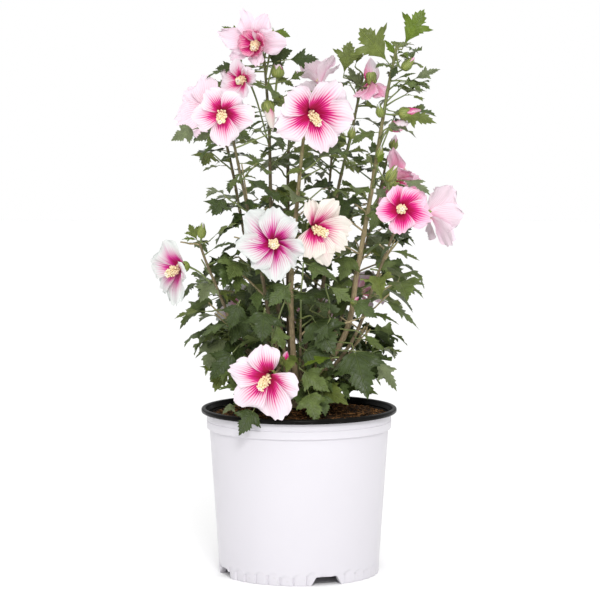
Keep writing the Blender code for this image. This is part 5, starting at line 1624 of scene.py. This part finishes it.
# How much of a flower's radius, and of a set leaf's length to each side, the leaves in front leave in view.
BLOOM_VIEW, SPRIG_VIEW = 0.80, 0.15


def arc_at(share, bend):
    """Where an arched midrib runs for a chord of 1, this share along it: (along, above, slope)."""
    slope = bend * (0.5 - share)
    chord = 2 * math.sin(bend / 2)
    return (math.sin(bend / 2) - np.sin(slope)) / chord, (np.cos(slope) - math.cos(bend / 2)) / chord, slope


def leaf_frame(leaf):
    axis = leaf.tip - leaf.root
    length = axis.length
    along = axis / length
    normal = square_to(along, leaf.normal)
    return length, along.cross(normal), along, normal


@functools.cache
def blade_template(outline):
    """A flat leaf blade as arrays: (across, along) of its points, and its triangles."""
    made = bmesh.new()
    right = [(half, run) for run, half in outline]
    left = [(-half, run) for half, run in reversed(right[:-1])]
    made.faces.new([made.verts.new((x, y, 0.0)) for x, y in right + left])
    cuts = [((x, 0, 0), (1, 0, 0)) for x in LEAF_CUTS_ACROSS] + [((0, y, 0), (0, 1, 0)) for y in LEAF_CUTS_ALONG]
    for spot, normal in cuts:
        geom = made.verts[:] + made.edges[:] + made.faces[:]
        bmesh.ops.bisect_plane(made, geom=geom, dist=1e-5, plane_co=spot, plane_no=normal)
    points, faces = arrays_of(made)
    return points[:, :2], faces


def blade_points(template, leaf, form):
    """The blade folded along its midrib, waved at its edges, arched and twisted, in its place."""
    length, side, along, normal = leaf_frame(leaf)
    x, y = template[:, 0] * form.width, template[:, 1]
    reach = 1.0 - STALK_SHARE
    lift = form.fold * np.abs(x) - LOBE_DROOP * x**2
    lift = lift + form.wave * np.sin(WHOLE_TURN * (WAVES * y + form.phase + 0.25 * np.sign(x))) * np.abs(x)
    turn = form.twist * (y - 0.3)
    across = x * np.cos(turn) - lift * np.sin(turn)
    above = x * np.sin(turn) + lift * np.cos(turn)
    run, rise, slope = arc_at(STALK_SHARE + reach * y, form.bend)
    local = [reach * across, run - reach * above * np.sin(slope), rise + reach * above * np.cos(slope)]
    return placed(np.stack(local, axis=1) * length, leaf.root, side, along, normal)


def stalk_of(leaf, form):
    """Points and radii of the stalk that carries the blade."""
    length, _, along, normal = leaf_frame(leaf)
    points = []
    for share in (0.0, 0.07, 0.14, STALK_SHARE + 0.05):
        run, rise, _ = arc_at(share, form.bend)
        points.append(leaf.root + along * (length * float(run)) + normal * (length * float(rise) - 0.0002))
    thick = 0.00042 + 0.0052 * length
    return points, [thick * 1.15, thick, thick * 0.9, thick * 0.45]


def springs_from(mass, root):
    """The point of a mass's leader that a stalk to this root leaves: the nearest one that isn't above it."""
    spots = [mass.path.at(mass.path.length * step / 80) for step in range(8, 81)]
    return min(spots, key=lambda spot: (spot - root).length + 4.0 * max(0.0, spot.z - root.z - 0.003))


def seen(point):
    """Where a point stands for someone in front: across and up, on the plane through the pot's axis."""
    flat = VIEW_POINT + (point - VIEW_POINT) * (-VIEW_POINT.y / (point.y - VIEW_POINT.y))
    return np.array((flat.x, flat.z))


def clear_views():
    """What the seeded leaves leave in view: (first end, second end, half width, depth) of each."""
    views = []
    for name, low, high in LANES:
        path = grown()[name].path
        spots = [path.at(path.run_at_height(float(height))) for height in np.linspace(low, high, 14)]
        for first, second in zip(spots, spots[1:]):
            views.append((seen(first), seen(second), LANE_WIDTH, min(first.y, second.y)))
    for bloom, _, dress in open_flowers():
        eye = eye_of(bloom, dress)
        if face_of(bloom, dress).y < 0.4:
            views.append((seen(eye), seen(eye), BLOOM_VIEW * bloom.radius, eye.y + 0.012))
    for sprig in SPRIGS:
        root, tip = sprig.root, sprig.tip
        width = SPRIG_VIEW * (tip - root).length
        views.append((seen(root.lerp(tip, 0.25)), seen(tip), width, 0.5 * (root.y + tip.y)))
    return views


def in_the_way(leaf, views):
    """Whether a leaf hides what should stay in view."""
    length, side, along, _ = leaf_frame(leaf)
    for run, half in LEAF_SPOTS:
        spot = leaf.root + along * (length * run) + side * (length * half)
        flat = seen(spot)
        for first, second, width, limit in views:
            if spot.y > limit:
                continue
            line = second - first
            share = np.clip(np.dot(flat - first, line) / max(np.dot(line, line), 1e-9), 0.0, 1.0)
            if np.hypot(*(flat - first - line * share)) < width:
                return True
    return False


@functools.cache
def dressed_leaves():
    """Every leaf with its form, its tint and its outline."""
    views, dressed = clear_views(), []
    dice = random.Random("sprigs")
    for sprig in SPRIGS:
        form = Form(*(dice.uniform(*ends) for ends in SPRIG_FORM), sprig.width, dice.random())
        dressed.append((Leaf(sprig.root, sprig.tip, sprig.normal), form, TINTS.index(sprig.tint), sprig.outline))
    for mass in grown().values():
        dice = random.Random(mass.name + "_leaves")
        for leaf in mass.leaves:
            thin = np.interp(leaf.tip.z, THIN_HEIGHTS, THIN_SHARES) + OPEN_SHARE * (mass.name in OPEN_MASSES)
            if leaf.tip.z < LOWEST_TIP or in_the_way(leaf, views) or dice.random() < thin:
                continue
            length = (leaf.tip - leaf.root).length
            height = 0.5 * (leaf.root.z + leaf.tip.z) + dice.uniform(-0.03, 0.03)
            form = Form(*(dice.uniform(*ends) for ends in LEAF_FORM), dice.random())
            outlines, shares = next(row[1:] for row in OUTLINES if length > row[0])
            outline = dice.choices(outlines, shares)[0]
            odds = [float(np.interp(height, TINT_HEIGHTS, row)) for row in TINT_ODDS.values()]
            dressed.append((leaf, form, dice.choices(range(len(TINTS)), odds)[0], outline))
    return dressed


def make_leaves(scene):
    """The leaf blades, joined, with a slot for each tint."""
    heap = Heap()
    for leaf, form, tint, outline in dressed_leaves():
        template, faces = blade_template(outline)
        form = form._replace(width=form.width * scene.hibiscus_plant.leaf_width)
        heap.add(blade_points(template, leaf, form), faces, tint, template + np.array([0.5, 0.0]))
    tints = [leaf_material(name, scene.hibiscus_colours) for name in TINTS]
    settle(heap.build("leaves", len(TINTS)), FOLIAGE_NODES, tints)


# ---- Flowers and buds ----

# Column: how far it reaches for the flower's radius, and at most.
COLUMN_SHARE, COLUMN_MOST = 0.58, 0.027
ROD_RADII = (0.0036, 0.0020)
# Anthers stand off the rod by this much at its foot, and this much less at its top, on a column of the usual reach.
ANTHERS, ANTHER_SIZES, ANTHER_STAND, ANTHER_FALL, USUAL_REACH = 92, (0.0010, 0.0017), 0.0078, 0.0030, 0.029
THREAD_RADIUS = 0.0004
STIGMAS, STIGMA_SIZE, STIGMA_STAND = 5, 0.0013, 0.0021
# Calyx of an open flower: its girth, height and how far behind the eye it starts.
CUP_GIRTH, CUP_HEIGHT, CUP_SINK = 0.0078, 0.0165, 0.0185
CUP_PROFILE = ((0.26, 0.0), (0.70, 0.07), (0.94, 0.22), (1.02, 0.42), (0.98, 0.62), (0.93, 0.80), (1.0, 1.0))
# Buds that have opened this far are fat. The girth of a fat one for its length, and of the thickest slim one.
FAT_BUD, FAT_GIRTH, SLIM_GIRTH = 0.9, 0.36, 0.0085
# How much narrower its calyx is round a fat bud, how wide it stands off any bud, and how far its lobes close.
FAT_CALYX, CALYX_STAND, CALYX_CLOSE = 0.52, 1.12, 0.62
# Where the petals' own map shows on a bud: from here, over this much of its length.
BUD_MAP_ROSE, BUD_MAP, BUD_MAP_RUN = 0.30, 0.42, 0.50


@functools.cache
def open_flowers():
    """Every open flower with the point that its stalk leaves and its dress."""
    return [(bloom, grown()[bloom.mass].spot(bloom.fraction), dress) for bloom, dress in zip(BLOOMS, DRESSES)]


def eye_of(bloom, dress):
    return mm(*dress.eye) if dress.eye else bloom.eye


def face_of(bloom, dress):
    return Vector(dress.facing or bloom.facing).normalized()


@functools.cache
def dressed_buds():
    """Every bud: the point that its stalk leaves, its base and tip, how far it has opened and its palette."""
    dressed = []
    for bud, (opened, palette, *moved) in zip(BUDS, BUD_DRESSES):
        start, base, tip = next(row for row in grown()[bud.mass].buds if row[2] == bud.tip)
        base, tip = [mm(*spot) for spot in moved] or (base, tip)
        dressed.append((start, base, tip, opened, palette))
    for name, base, tip, opened, palette in MORE_BUDS:
        dressed.append((springs_from(grown()[name], mm(*base)), mm(*base), mm(*tip), opened, palette))
    return dressed


def rise_between(value, low, high):
    """A smooth step from 0 to 1."""
    share = np.clip((value - low) / (high - low), 0.0, 1.0)
    return share * share * (3 - 2 * share)


def grid_faces(rows, columns):
    """Triangles of a grid of points, row by row."""
    first = np.arange(rows * columns).reshape(rows, columns)
    a, b, c, d = (part.ravel() for part in (first[:-1, :-1], first[:-1, 1:], first[1:, 1:], first[1:, :-1]))
    return np.concatenate([np.stack([a, c, b], axis=1), np.stack([a, d, c], axis=1)])


def petal_points(radius, cup, reach, width, ruffle, dice):
    """One petal round the flower's axis: (out along its middle, across, forward)."""
    v, u = np.meshgrid(np.linspace(0, 1, PETAL_ROWS), np.linspace(-1, 1, PETAL_COLUMNS), indexing="ij")
    size = reach * dice.uniform(0.95, 1.03)
    out = math.sqrt(1.0 - 0.9 * cup * cup) * size
    forward = cup * (0.35 + 0.65 * size)
    skew, dent, dents = dice.uniform(-0.07, 0.07), dice.uniform(0.02, 0.06), dice.random()
    crest = 0.10 * u**2 + skew * u + dent * np.abs(np.sin(math.pi * (1.6 * u + dents))) ** 1.5
    run = v * (1.0 - crest * rise_between(v, 0.45, 1.0))
    # The middle line is a cubic curve through these bends: (out, forward).
    bends = ((0.030, -0.19), (0.080, 0.03), (0.50, 0.55 * forward + 0.06), (out, forward))
    shares = ((1 - run) ** 3, 3 * run * (1 - run) ** 2, 3 * run**2 * (1 - run), run**3)
    far, rise = (sum(share * bend[i] for share, bend in zip(shares, bends)) for i in (0, 1))
    half = np.interp(v, PETAL_RUNS, PETAL_HALVES) * width * (0.5 + 0.5 * size)
    across = u * half + dice.uniform(-0.07, 0.07) * v**2
    # It cups along its length, tilts and folds a little, and hangs back at the margin.
    rise = rise + 0.11 * u * np.sin(math.pi * v) ** 0.5
    rise = rise + dice.uniform(-0.07, 0.07) * v**2 + dice.uniform(-0.02, 0.09) * np.abs(u) * np.sin(math.pi * v)
    rise = rise - dice.uniform(0.03, 0.15) * rise_between(v, 0.55, 1.0) ** 2 * (1 + 0.6 * u**2)
    # One edge rolls.
    rolled, roll = dice.choice((-1, 1)), dice.uniform(-0.05, 0.17)
    edge = np.clip(rolled * u, 0, 1) ** 2 * rise_between(v, 0.30, 0.85)
    rise = rise + roll * edge
    across = across - rolled * 0.6 * abs(roll) * edge
    # The margin is ruffled in three waves.
    wave = ruffle * 0.030 * rise_between(v, 0.45, 1.0)
    first, second, third = dice.random(), dice.random(), dice.random()
    rise = rise + wave * (
        np.sin(WHOLE_TURN * (1.2 * u + first)) + 0.6 * np.sin(WHOLE_TURN * (2.5 * u + second))
        + 0.35 * np.sin(WHOLE_TURN * (4.1 * u + third)))
    side_wave = ruffle * 0.026 * np.abs(u) ** 3 * rise_between(v, 0.3, 0.7)
    rise = rise + side_wave * np.sin(WHOLE_TURN * (2.7 * v + third)) * np.sign(u)
    far = far + 0.5 * wave * np.sin(WHOLE_TURN * (1.7 * u + third))
    # A deep cup wraps round the axis.
    wrap = min(1.0, max(0.0, (cup - 0.3) / 0.5))
    angle = across / np.maximum(far, 0.20)
    local = [(1 - wrap) * far + wrap * far * np.cos(angle), (1 - wrap) * across + wrap * far * np.sin(angle), rise]
    pattern = np.stack([0.5 + 0.5 * u, v], axis=-1)
    return np.stack(local, axis=-1).reshape(-1, 3) * radius, pattern.reshape(-1, 2)


def lay_petals(heap, bloom, dress, spin, dice):
    """The petals of one flower, with any small inner ones."""
    eye, facing = eye_of(bloom, dress), face_of(bloom, dress)
    side, up = frame_of(facing)
    faces = grid_faces(PETAL_ROWS, PETAL_COLUMNS)
    cup, shade = dress.cup or bloom.cup, SHADES.index(dress.palette)
    even = len({width for _, _, width in dress.petals}) == 1
    rows = [(math.radians(turn) + even * (spin + dice.uniform(-0.15, 0.15)), reach / 100, width / 100, cup, shade)
            for turn, reach, width in dress.petals]
    rows += [(spin + WHOLE_TURN * (step + 0.5) / dress.inner, *INNER_PETAL, SHADES.index("crimson"))
             for step in range(dress.inner)]
    for index, (angle, reach, width, depth, shade) in enumerate(rows):
        reach *= dice.uniform(0.88, 1.06) if even else 1.0
        local, pattern = petal_points(bloom.radius, depth, reach, width, dress.ruffle, dice)
        out, across = swing(up, -side, angle), swing(-side, -up, angle)
        lift = 0.0011 * (index * 2 % 5 - 2)
        heap.add(placed(local, eye + facing * lift, out, across, facing), faces, shade, pattern)


@functools.cache
def bead_template():
    made = bmesh.new()
    bmesh.ops.create_icosphere(made, subdivisions=1, radius=1.0)
    return arrays_of(made)


def lay_column(heap, eye, axis, reach, dice):
    """The column in the middle of a flower: a tapered rod, its crowded anthers and the stigma's five tips."""
    side, up = frame_of(axis)
    beads, faces = bead_template()
    made = bmesh.new()
    bmesh.ops.create_cone(made, cap_ends=True, segments=8, radius1=ROD_RADII[0], radius2=ROD_RADII[1],
                          depth=reach * 0.98)
    rod, rod_faces = arrays_of(made)

    def lay(shape, shape_faces, spot, x, y, slot):
        heap.add(placed(shape, spot, x, y, axis), shape_faces, slot, np.full((len(shape), 2), 0.5))

    lay(rod, rod_faces, eye + axis * (reach * 0.40), side, up, 0)
    for index in range(ANTHERS):
        share = (index + 0.5) / ANTHERS
        out = swing(side, up, index * TURN + dice.uniform(-0.3, 0.3))
        across = axis.cross(out)
        spread = (ANTHER_STAND - ANTHER_FALL * share) * dice.uniform(0.55, 1.08) * (reach / USUAL_REACH) ** 0.5
        spot = eye + axis * (reach * (0.16 + 0.78 * share)) + out * spread
        size = dice.uniform(*ANTHER_SIZES)
        lay(beads * np.array([size * 1.3, size, size]), faces, spot, out, across, 1)
        if index % 2 == 0:
            spot = eye + axis * (reach * (0.14 + 0.78 * share)) + out * (spread * 0.55)
            lay(beads * np.array([spread * 0.5, THREAD_RADIUS, THREAD_RADIUS]), faces, spot, out, across, 0)
    for index in range(STIGMAS):
        out = swing(side, up, index * WHOLE_TURN / STIGMAS)
        lay(beads * STIGMA_SIZE, faces, eye + axis * reach + out * STIGMA_STAND, side, up, 2)


def template_of(made):
    """A turned bmesh as arrays, with a map that runs round its axis and up it; it is freed."""
    bmesh.ops.recalc_face_normals(made, faces=made.faces)
    points, faces = arrays_of(made)
    turn = np.arctan2(points[:, 1], points[:, 0]) / WHOLE_TURN
    return points, faces, np.stack([np.abs(turn) * 2, np.clip(points[:, 2], 0.0, 1.0)], axis=1)


def cup_template():
    """A calyx for a length of 1 and a girth of 1, open at the top with five pointed lobes."""
    made = spun(CUP_PROFILE, 20, 1e-5)
    for vertex in made.verts:
        turn = math.atan2(vertex.co.y, vertex.co.x)
        lobe = abs(math.cos(2.5 * turn))
        share = max(0.0, (vertex.co.z - 0.62) / 0.38)
        vertex.co.z += share * (0.34 * lobe**1.5 - 0.36)
        ridge = 0.05 * math.cos(5 * turn) * math.sin(math.pi * min(1.0, vertex.co.z))
        swell = 1.0 + share * 0.10 * (lobe - 0.5) + ridge
        vertex.co.x *= swell
        vertex.co.y *= swell
    return template_of(made)


def bud_template(rows=11):
    """Furled petals for a length of 1 and a girth of 1: a twisted, ridged spindle."""
    shares = [row / rows for row in range(1, rows)]
    middle = [(math.sin(math.pi * share**0.82) ** 0.75 * (1.0 - 0.25 * share), share) for share in shares]
    made = spun([(0.0, 0.0), *middle, (0.0, 1.0)], 15, 1e-5)
    for vertex in made.verts:
        turn = math.atan2(vertex.co.y, vertex.co.x) + 2.2 * vertex.co.z
        radius = math.hypot(vertex.co.x, vertex.co.y) * (1.0 + 0.16 * abs(math.sin(2.5 * turn)) - 0.08)
        vertex.co.x, vertex.co.y = radius * math.cos(turn), radius * math.sin(turn)
    return template_of(made)


def lay_bud(petals, calyxes, spindle, cup, number, base, tip, opened, palette):
    """One bud: its furled petals, and the calyx that still covers some of it."""
    axis = tip - base
    length = axis.length
    axis.normalize()
    side, up = frame_of(axis)
    fat = opened >= FAT_BUD
    girth = FAT_GIRTH * length if fat else min(SLIM_GIRTH, (BUD_GIRTH + 0.05 * opened) * length)
    points, faces, pattern = spindle
    shape = points * np.array([girth * 0.90, girth * 0.90, length])
    pattern = pattern * np.array([1.0, BUD_MAP_RUN]) + np.array([0.0, BUD_MAP_ROSE if palette == "rose" else BUD_MAP])
    petals.add(placed(shape, base, side, up, axis), faces, SHADES.index(palette), pattern)
    girth *= FAT_CALYX if fat else 1.0
    points, faces, pattern = cup
    close = np.clip((points[:, 2] - 0.45) / 0.55, 0.0, 1.0) * (1.0 - 0.85 * opened)
    narrow = 1.0 - CALYX_CLOSE * close
    shape = points * np.stack([narrow, narrow, np.ones_like(narrow)], axis=1)
    shape = shape * np.array([girth * CALYX_STAND, girth * CALYX_STAND, length * (0.74 * (1.0 - opened) + 0.30)])
    calyxes.add(placed(shape, base - axis * 0.001, side, up, axis), faces, number % 2, pattern)


def make_flowers(scene):
    """Petals, columns and calyxes of the flowers and the buds, each kind joined in one piece."""
    settings, dice = scene.hibiscus_colours, random.Random("flowers")
    petals, columns, calyxes = Heap(), Heap(), Heap()
    cup, spindle = cup_template(), bud_template()
    for index, (bloom, _, dress) in enumerate(open_flowers()):
        eye, facing = eye_of(bloom, dress), face_of(bloom, dress)
        dress = dress._replace(ruffle=dress.ruffle * scene.hibiscus_plant.petal_ruffle)
        lay_petals(petals, bloom, dress, FLOWER_SPIN * index, dice)
        axis = Vector(dress.column).normalized() if dress.column else facing
        lay_column(columns, eye, axis, min(COLUMN_MOST, COLUMN_SHARE * bloom.radius), dice)
        shape = cup[0] * np.array([CUP_GIRTH, CUP_GIRTH, CUP_HEIGHT])
        calyxes.add(placed(shape, eye - facing * CUP_SINK, *frame_of(facing), facing), cup[1], index % 2, cup[2])
    for number, (_, *bud) in enumerate(dressed_buds()):
        lay_bud(petals, calyxes, spindle, cup, number, *bud)
    rod, pollen = tuple(settings.column_colour), tuple(settings.anther_colour)
    green, stripe = tuple(settings.calyx_colour), tuple(settings.calyx_stripe)
    finishes = {
        "petals": [petal_material(name, settings) for name in SHADES],
        "columns": [speckled("column_rod", "column", rod, toned(rod, 1.15)),
                    speckled("column_anther", "column", pollen, toned(pollen, 1.25)),
                    speckled("column_stigma", "column", (0.90, 0.86, 0.72), (0.94, 0.92, 0.82))],
        "calyxes": [speckled("calyx_green", "calyx", green, stripe),
                    speckled("calyx_striped", "calyx", stripe, toned(green, 0.6))],
    }
    for heap, (name, materials) in zip((petals, columns, calyxes), finishes.items()):
        settle(heap.build(name, len(materials)), FOLIAGE_NODES, materials)


# ---- Stage ----

FLOOR_RADIUS = 9.0
SKY_LEVEL, SKY_TOP = 0.32, 1.12
KEY_PLACE, KEY_AIM, KEY_POWER, KEY_SIZE = Vector((0.20, -2.6, 1.7)), Vector((0, 0, 0.4)), 37.0, 0.7
LENS, SENSOR, TILT_DOWN = 147.6, 36.0, 0.0886


def sky():
    """An even white surround that lights the plant most from above."""
    world = bpy.data.worlds.new("studio")
    world.use_nodes = True
    nodes = Nodes(world.node_tree)
    backdrop = world.node_tree.nodes["Background"]
    rise = nodes.math("MAXIMUM", nodes.split(nodes.add("TexCoord")["Generated"])[2], 0.0)
    glow = nodes.plus(nodes.times(rise, SKY_TOP), SKY_LEVEL)
    nodes.feed(backdrop, "Color", (1.0, 1.0, 1.0, 1.0))
    nodes.feed(backdrop, "Strength", nodes.math("MAXIMUM", glow, nodes.add("LightPath")["Is Camera Ray"]))
    return world


def make_stage():
    """A pale floor, soft studio light and the camera."""
    scene = bpy.context.scene
    scene.view_settings.view_transform = "Standard"
    made = bmesh.new()
    bmesh.ops.create_circle(made, cap_ends=True, segments=96, radius=FLOOR_RADIUS)
    floor = bmesh_object("floor", made)
    paint = Finish("floor_paint", 0.9, Specular_IOR_Level=0.1)
    cloud = paint.noise(paint.place(), 1.2, 2.0)
    paint.wear(Base_Color=paint.blend(cloud, (0.955, 0.955, 0.955), (0.965, 0.965, 0.965)))
    floor.data.materials.append(paint.made)
    scene.world = sky()

    lamp = bpy.data.lights.new("key", "AREA")
    lamp.shape, lamp.size, lamp.energy = "DISK", KEY_SIZE, KEY_POWER
    key = new_object("key", lamp)
    key.location = KEY_PLACE
    key.rotation_euler = (KEY_AIM - KEY_PLACE).to_track_quat("-Z", "Y").to_euler()

    lens = bpy.data.cameras.new("camera")
    lens.lens, lens.sensor_width, lens.clip_end = LENS, SENSOR, 60.0
    camera = new_object("camera", lens)
    camera.location = VIEW_POINT
    camera.rotation_euler = (math.pi / 2 - TILT_DOWN, 0.0, 0.0)
    scene.camera = camera


# ---- Add-on ----


def length_of(name, text, value):
    return bpy.props.FloatProperty(name=name, description=text, default=value, min=0.0, unit="LENGTH", precision=4)


def share_of(name, text, value):
    return bpy.props.FloatProperty(name=name, description=text, default=value, min=0.0, max=2.0, subtype="FACTOR")


def colour_of(name, text, value):
    return bpy.props.FloatVectorProperty(
        name=name, description=text, default=value, size=3, min=0.0, max=1.0, subtype="COLOR")


RIM_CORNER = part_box("pot_lining")[1]
BAND_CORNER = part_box("pot")[1]


class HibiscusPotSizes(bpy.types.PropertyGroup):
    foot_radius: length_of("Foot radius", "Outside radius of the white pot at its foot", 0.1148)
    wall_top_radius: length_of("Wall top radius", "Outside radius of the wall under the band", 0.128)
    band_radius: length_of("Band radius", "Outside radius of the band under the rim", round(BAND_CORNER[0], 5))
    band_top: length_of("Band top", "Height of the band's upper edge", round(BAND_CORNER[2], 5))
    rim_radius: length_of("Rim radius", "Outside radius of the black rim", round(RIM_CORNER[0], 5))
    rim_height: length_of("Rim height", "Height of the rim's top", round(RIM_CORNER[2], 5))
    rim_roll: length_of("Rim roll", "How deep the rolled rim is", 0.0072)
    mouth_radius: length_of("Mouth radius", "Inside radius of the rim", MOUTH_RADIUS)
    flute_depth: length_of("Flute depth", "How deep the scallops round the foot are", 0.0030)


class HibiscusPlantSizes(bpy.types.PropertyGroup):
    leaf_width: share_of("Leaf width", "How wide the leaves are for their length", 1.0)
    petal_ruffle: share_of("Petal ruffle", "How ruffled the petals' margins are", 1.0)


class HibiscusColours(bpy.types.PropertyGroup):
    wall_colour: colour_of("Pot wall", "White plastic of the pot", (0.690, 0.670, 0.712))
    rim_colour: colour_of("Rim", "Black plastic of the rim and the inner pot", (0.004, 0.0036, 0.0032))
    mix_dark: colour_of("Mix, dark", "Damp ground of the potting mix", (0.016, 0.010, 0.006))
    mix_brown: colour_of("Mix, brown", "Bark chips of the potting mix", (0.085, 0.040, 0.014))
    mix_tan: colour_of("Mix, tan", "Fresh splinters in the potting mix", (0.26, 0.125, 0.045))
    bark_low: colour_of("Bark, low", "Bark by the mix", (0.47, 0.35, 0.20))
    bark_middle: colour_of("Bark, middle", "Bark in the lower crown", (0.42, 0.33, 0.18))
    bark_high: colour_of("Bark, high", "Bark in the upper crown", (0.30, 0.25, 0.12))
    shoot_colour: colour_of("Shoot tips", "Green growth at the tips", (0.19, 0.22, 0.070))
    stalk_colour: colour_of("Stalks", "Leaf stalks and flower stalks", (0.17, 0.22, 0.075))
    stalk_red: colour_of("Red stalks", "Leaf stalks flushed with red", (0.22, 0.11, 0.050))
    # Darker partly as the leaves' own colour, partly as painted shade low in the crown.
    leaf_deep: colour_of("Leaf, deep", "Old leaves low in the crown", (0.078, 0.114, 0.030))
    leaf_mid: colour_of("Leaf, mid", "Leaves in the middle of the crown", (0.102, 0.140, 0.036))
    leaf_olive: colour_of("Leaf, olive", "Yellower leaves", (0.132, 0.166, 0.036))
    leaf_young: colour_of("Leaf, young", "New leaves at the tips", (0.112, 0.168, 0.015))
    # Painted sheen: this grey tint stands in for the sheen of light reflected off the leaves.
    leaf_grey: colour_of("Leaf, grey", "Leaves with a grey sheen", (0.150, 0.180, 0.086))
    # Darker partly as the leaves' own colour, partly as painted shade over the pot.
    leaf_low: colour_of("Leaf, low", "Large dark leaves over the pot", (0.040, 0.062, 0.014))
    leaf_bright: colour_of("Leaf, bright", "Fresh top leaves", (0.112, 0.172, 0.009))
    vein_strength: share_of("Vein strength", "How clearly the veins show", 0.42)
    eye_colour: colour_of("Eye", "Darkest crimson of a flower", (0.345, 0.0015, 0.044))
    throat_colour: colour_of("Throat", "Magenta round the eye", (0.67, 0.022, 0.235))
    blush_colour: colour_of("Petal, blush", "Margin of the blush petals", (0.755, 0.665, 0.715))
    white_colour: colour_of("Petal, white", "Margin of the greenish white petals", (0.640, 0.665, 0.645))
    cream_colour: colour_of("Petal, cream", "Margin of the cream petals", (0.735, 0.690, 0.625))
    rose_colour: colour_of("Petal, rose", "Margin of the pink petals", (0.755, 0.50, 0.61))
    pale_colour: colour_of("Petal, pale", "Margin of the palest petals", (0.76, 0.63, 0.70))
    streak_strength: share_of("Streak strength", "How dark the streaks in the throat are", 0.55)
    column_colour: colour_of("Column", "Rod in the middle of a flower", (0.84, 0.70, 0.42))
    anther_colour: colour_of("Anthers", "Pollen on the column", (0.84, 0.70, 0.44))
    calyx_colour: colour_of("Calyx", "Green of the calyxes", (0.17, 0.23, 0.045))
    calyx_stripe: colour_of("Calyx stripe", "Yellow-green stripes of the calyxes", (0.32, 0.36, 0.090))


class HIBISCUS_OT_pot_shell(bpy.types.Operator):
    """Makes the white outer pot"""

    bl_idname = "hibiscus.pot_shell"
    bl_label = "White Pot"

    def execute(self, context):
        make_pot_shell(context.scene)
        return {"FINISHED"}


class HIBISCUS_OT_pot_liner(bpy.types.Operator):
    """Makes the black inner pot with its rolled rim"""

    bl_idname = "hibiscus.pot_liner"
    bl_label = "Black Inner Pot"

    def execute(self, context):
        make_pot_liner(context.scene)
        return {"FINISHED"}


class HIBISCUS_OT_potting_mix(bpy.types.Operator):
    """Makes the potting mix with its chips and fibres"""

    bl_idname = "hibiscus.potting_mix"
    bl_label = "Potting Mix"

    def execute(self, context):
        make_mix(context.scene)
        return {"FINISHED"}


class HIBISCUS_OT_limbs(bpy.types.Operator):
    """Makes the stems and the stool that they leave"""

    bl_idname = "hibiscus.limbs"
    bl_label = "Stems"

    def execute(self, context):
        make_limbs(context.scene)
        return {"FINISHED"}


class HIBISCUS_OT_twigs(bpy.types.Operator):
    """Makes the side twigs and the stalks of leaves, buds and flowers"""

    bl_idname = "hibiscus.twigs"
    bl_label = "Twigs and Stalks"

    def execute(self, context):
        make_twigs(context.scene)
        return {"FINISHED"}


class HIBISCUS_OT_leaves(bpy.types.Operator):
    """Makes the leaves"""

    bl_idname = "hibiscus.leaves"
    bl_label = "Leaves"

    def execute(self, context):
        make_leaves(context.scene)
        return {"FINISHED"}


class HIBISCUS_OT_flowers(bpy.types.Operator):
    """Makes the petals, columns and calyxes of the flowers and buds"""

    bl_idname = "hibiscus.flowers"
    bl_label = "Flowers and Buds"

    def execute(self, context):
        make_flowers(context.scene)
        return {"FINISHED"}


class HIBISCUS_OT_stage(bpy.types.Operator):
    """Makes the floor, the lights and the camera"""

    bl_idname = "hibiscus.stage"
    bl_label = "Studio"

    def execute(self, context):
        make_stage()
        return {"FINISHED"}


STEPS = (
    HIBISCUS_OT_pot_shell,
    HIBISCUS_OT_pot_liner,
    HIBISCUS_OT_potting_mix,
    HIBISCUS_OT_limbs,
    HIBISCUS_OT_twigs,
    HIBISCUS_OT_leaves,
    HIBISCUS_OT_flowers,
    HIBISCUS_OT_stage,
)


class HIBISCUS_PT_panel(bpy.types.Panel):
    """Lists the steps of the shrub and its settings"""

    bl_idname = "HIBISCUS_PT_panel"
    bl_label = "Potted Hibiscus"
    bl_space_type = "VIEW_3D"
    bl_region_type = "UI"
    bl_category = "Hibiscus"

    def draw(self, context):
        for step in STEPS:
            self.layout.operator(step.bl_idname)
        for group in (context.scene.hibiscus_pot, context.scene.hibiscus_plant, context.scene.hibiscus_colours):
            box = self.layout.box()
            for name in group.bl_rna.properties.keys():
                if name not in {"rna_type", "name"}:
                    box.prop(group, name)


GROUPS = {
    "hibiscus_pot": HibiscusPotSizes,
    "hibiscus_plant": HibiscusPlantSizes,
    "hibiscus_colours": HibiscusColours,
}


def register():
    for group in GROUPS.values():
        bpy.utils.register_class(group)
    for name, group in GROUPS.items():
        setattr(bpy.types.Scene, name, bpy.props.PointerProperty(type=group))
    for step in STEPS + (HIBISCUS_PT_panel,):
        bpy.utils.register_class(step)


def unregister():
    for step in reversed(STEPS + (HIBISCUS_PT_panel,)):
        bpy.utils.unregister_class(step)
    for name in GROUPS:
        delattr(bpy.types.Scene, name)
    for group in GROUPS.values():
        bpy.utils.unregister_class(group)


def main():
    register()
    for step in STEPS:
        getattr(bpy.ops.hibiscus, step.bl_idname.split(".")[1])()


if __name__ == "__main__":
    main()
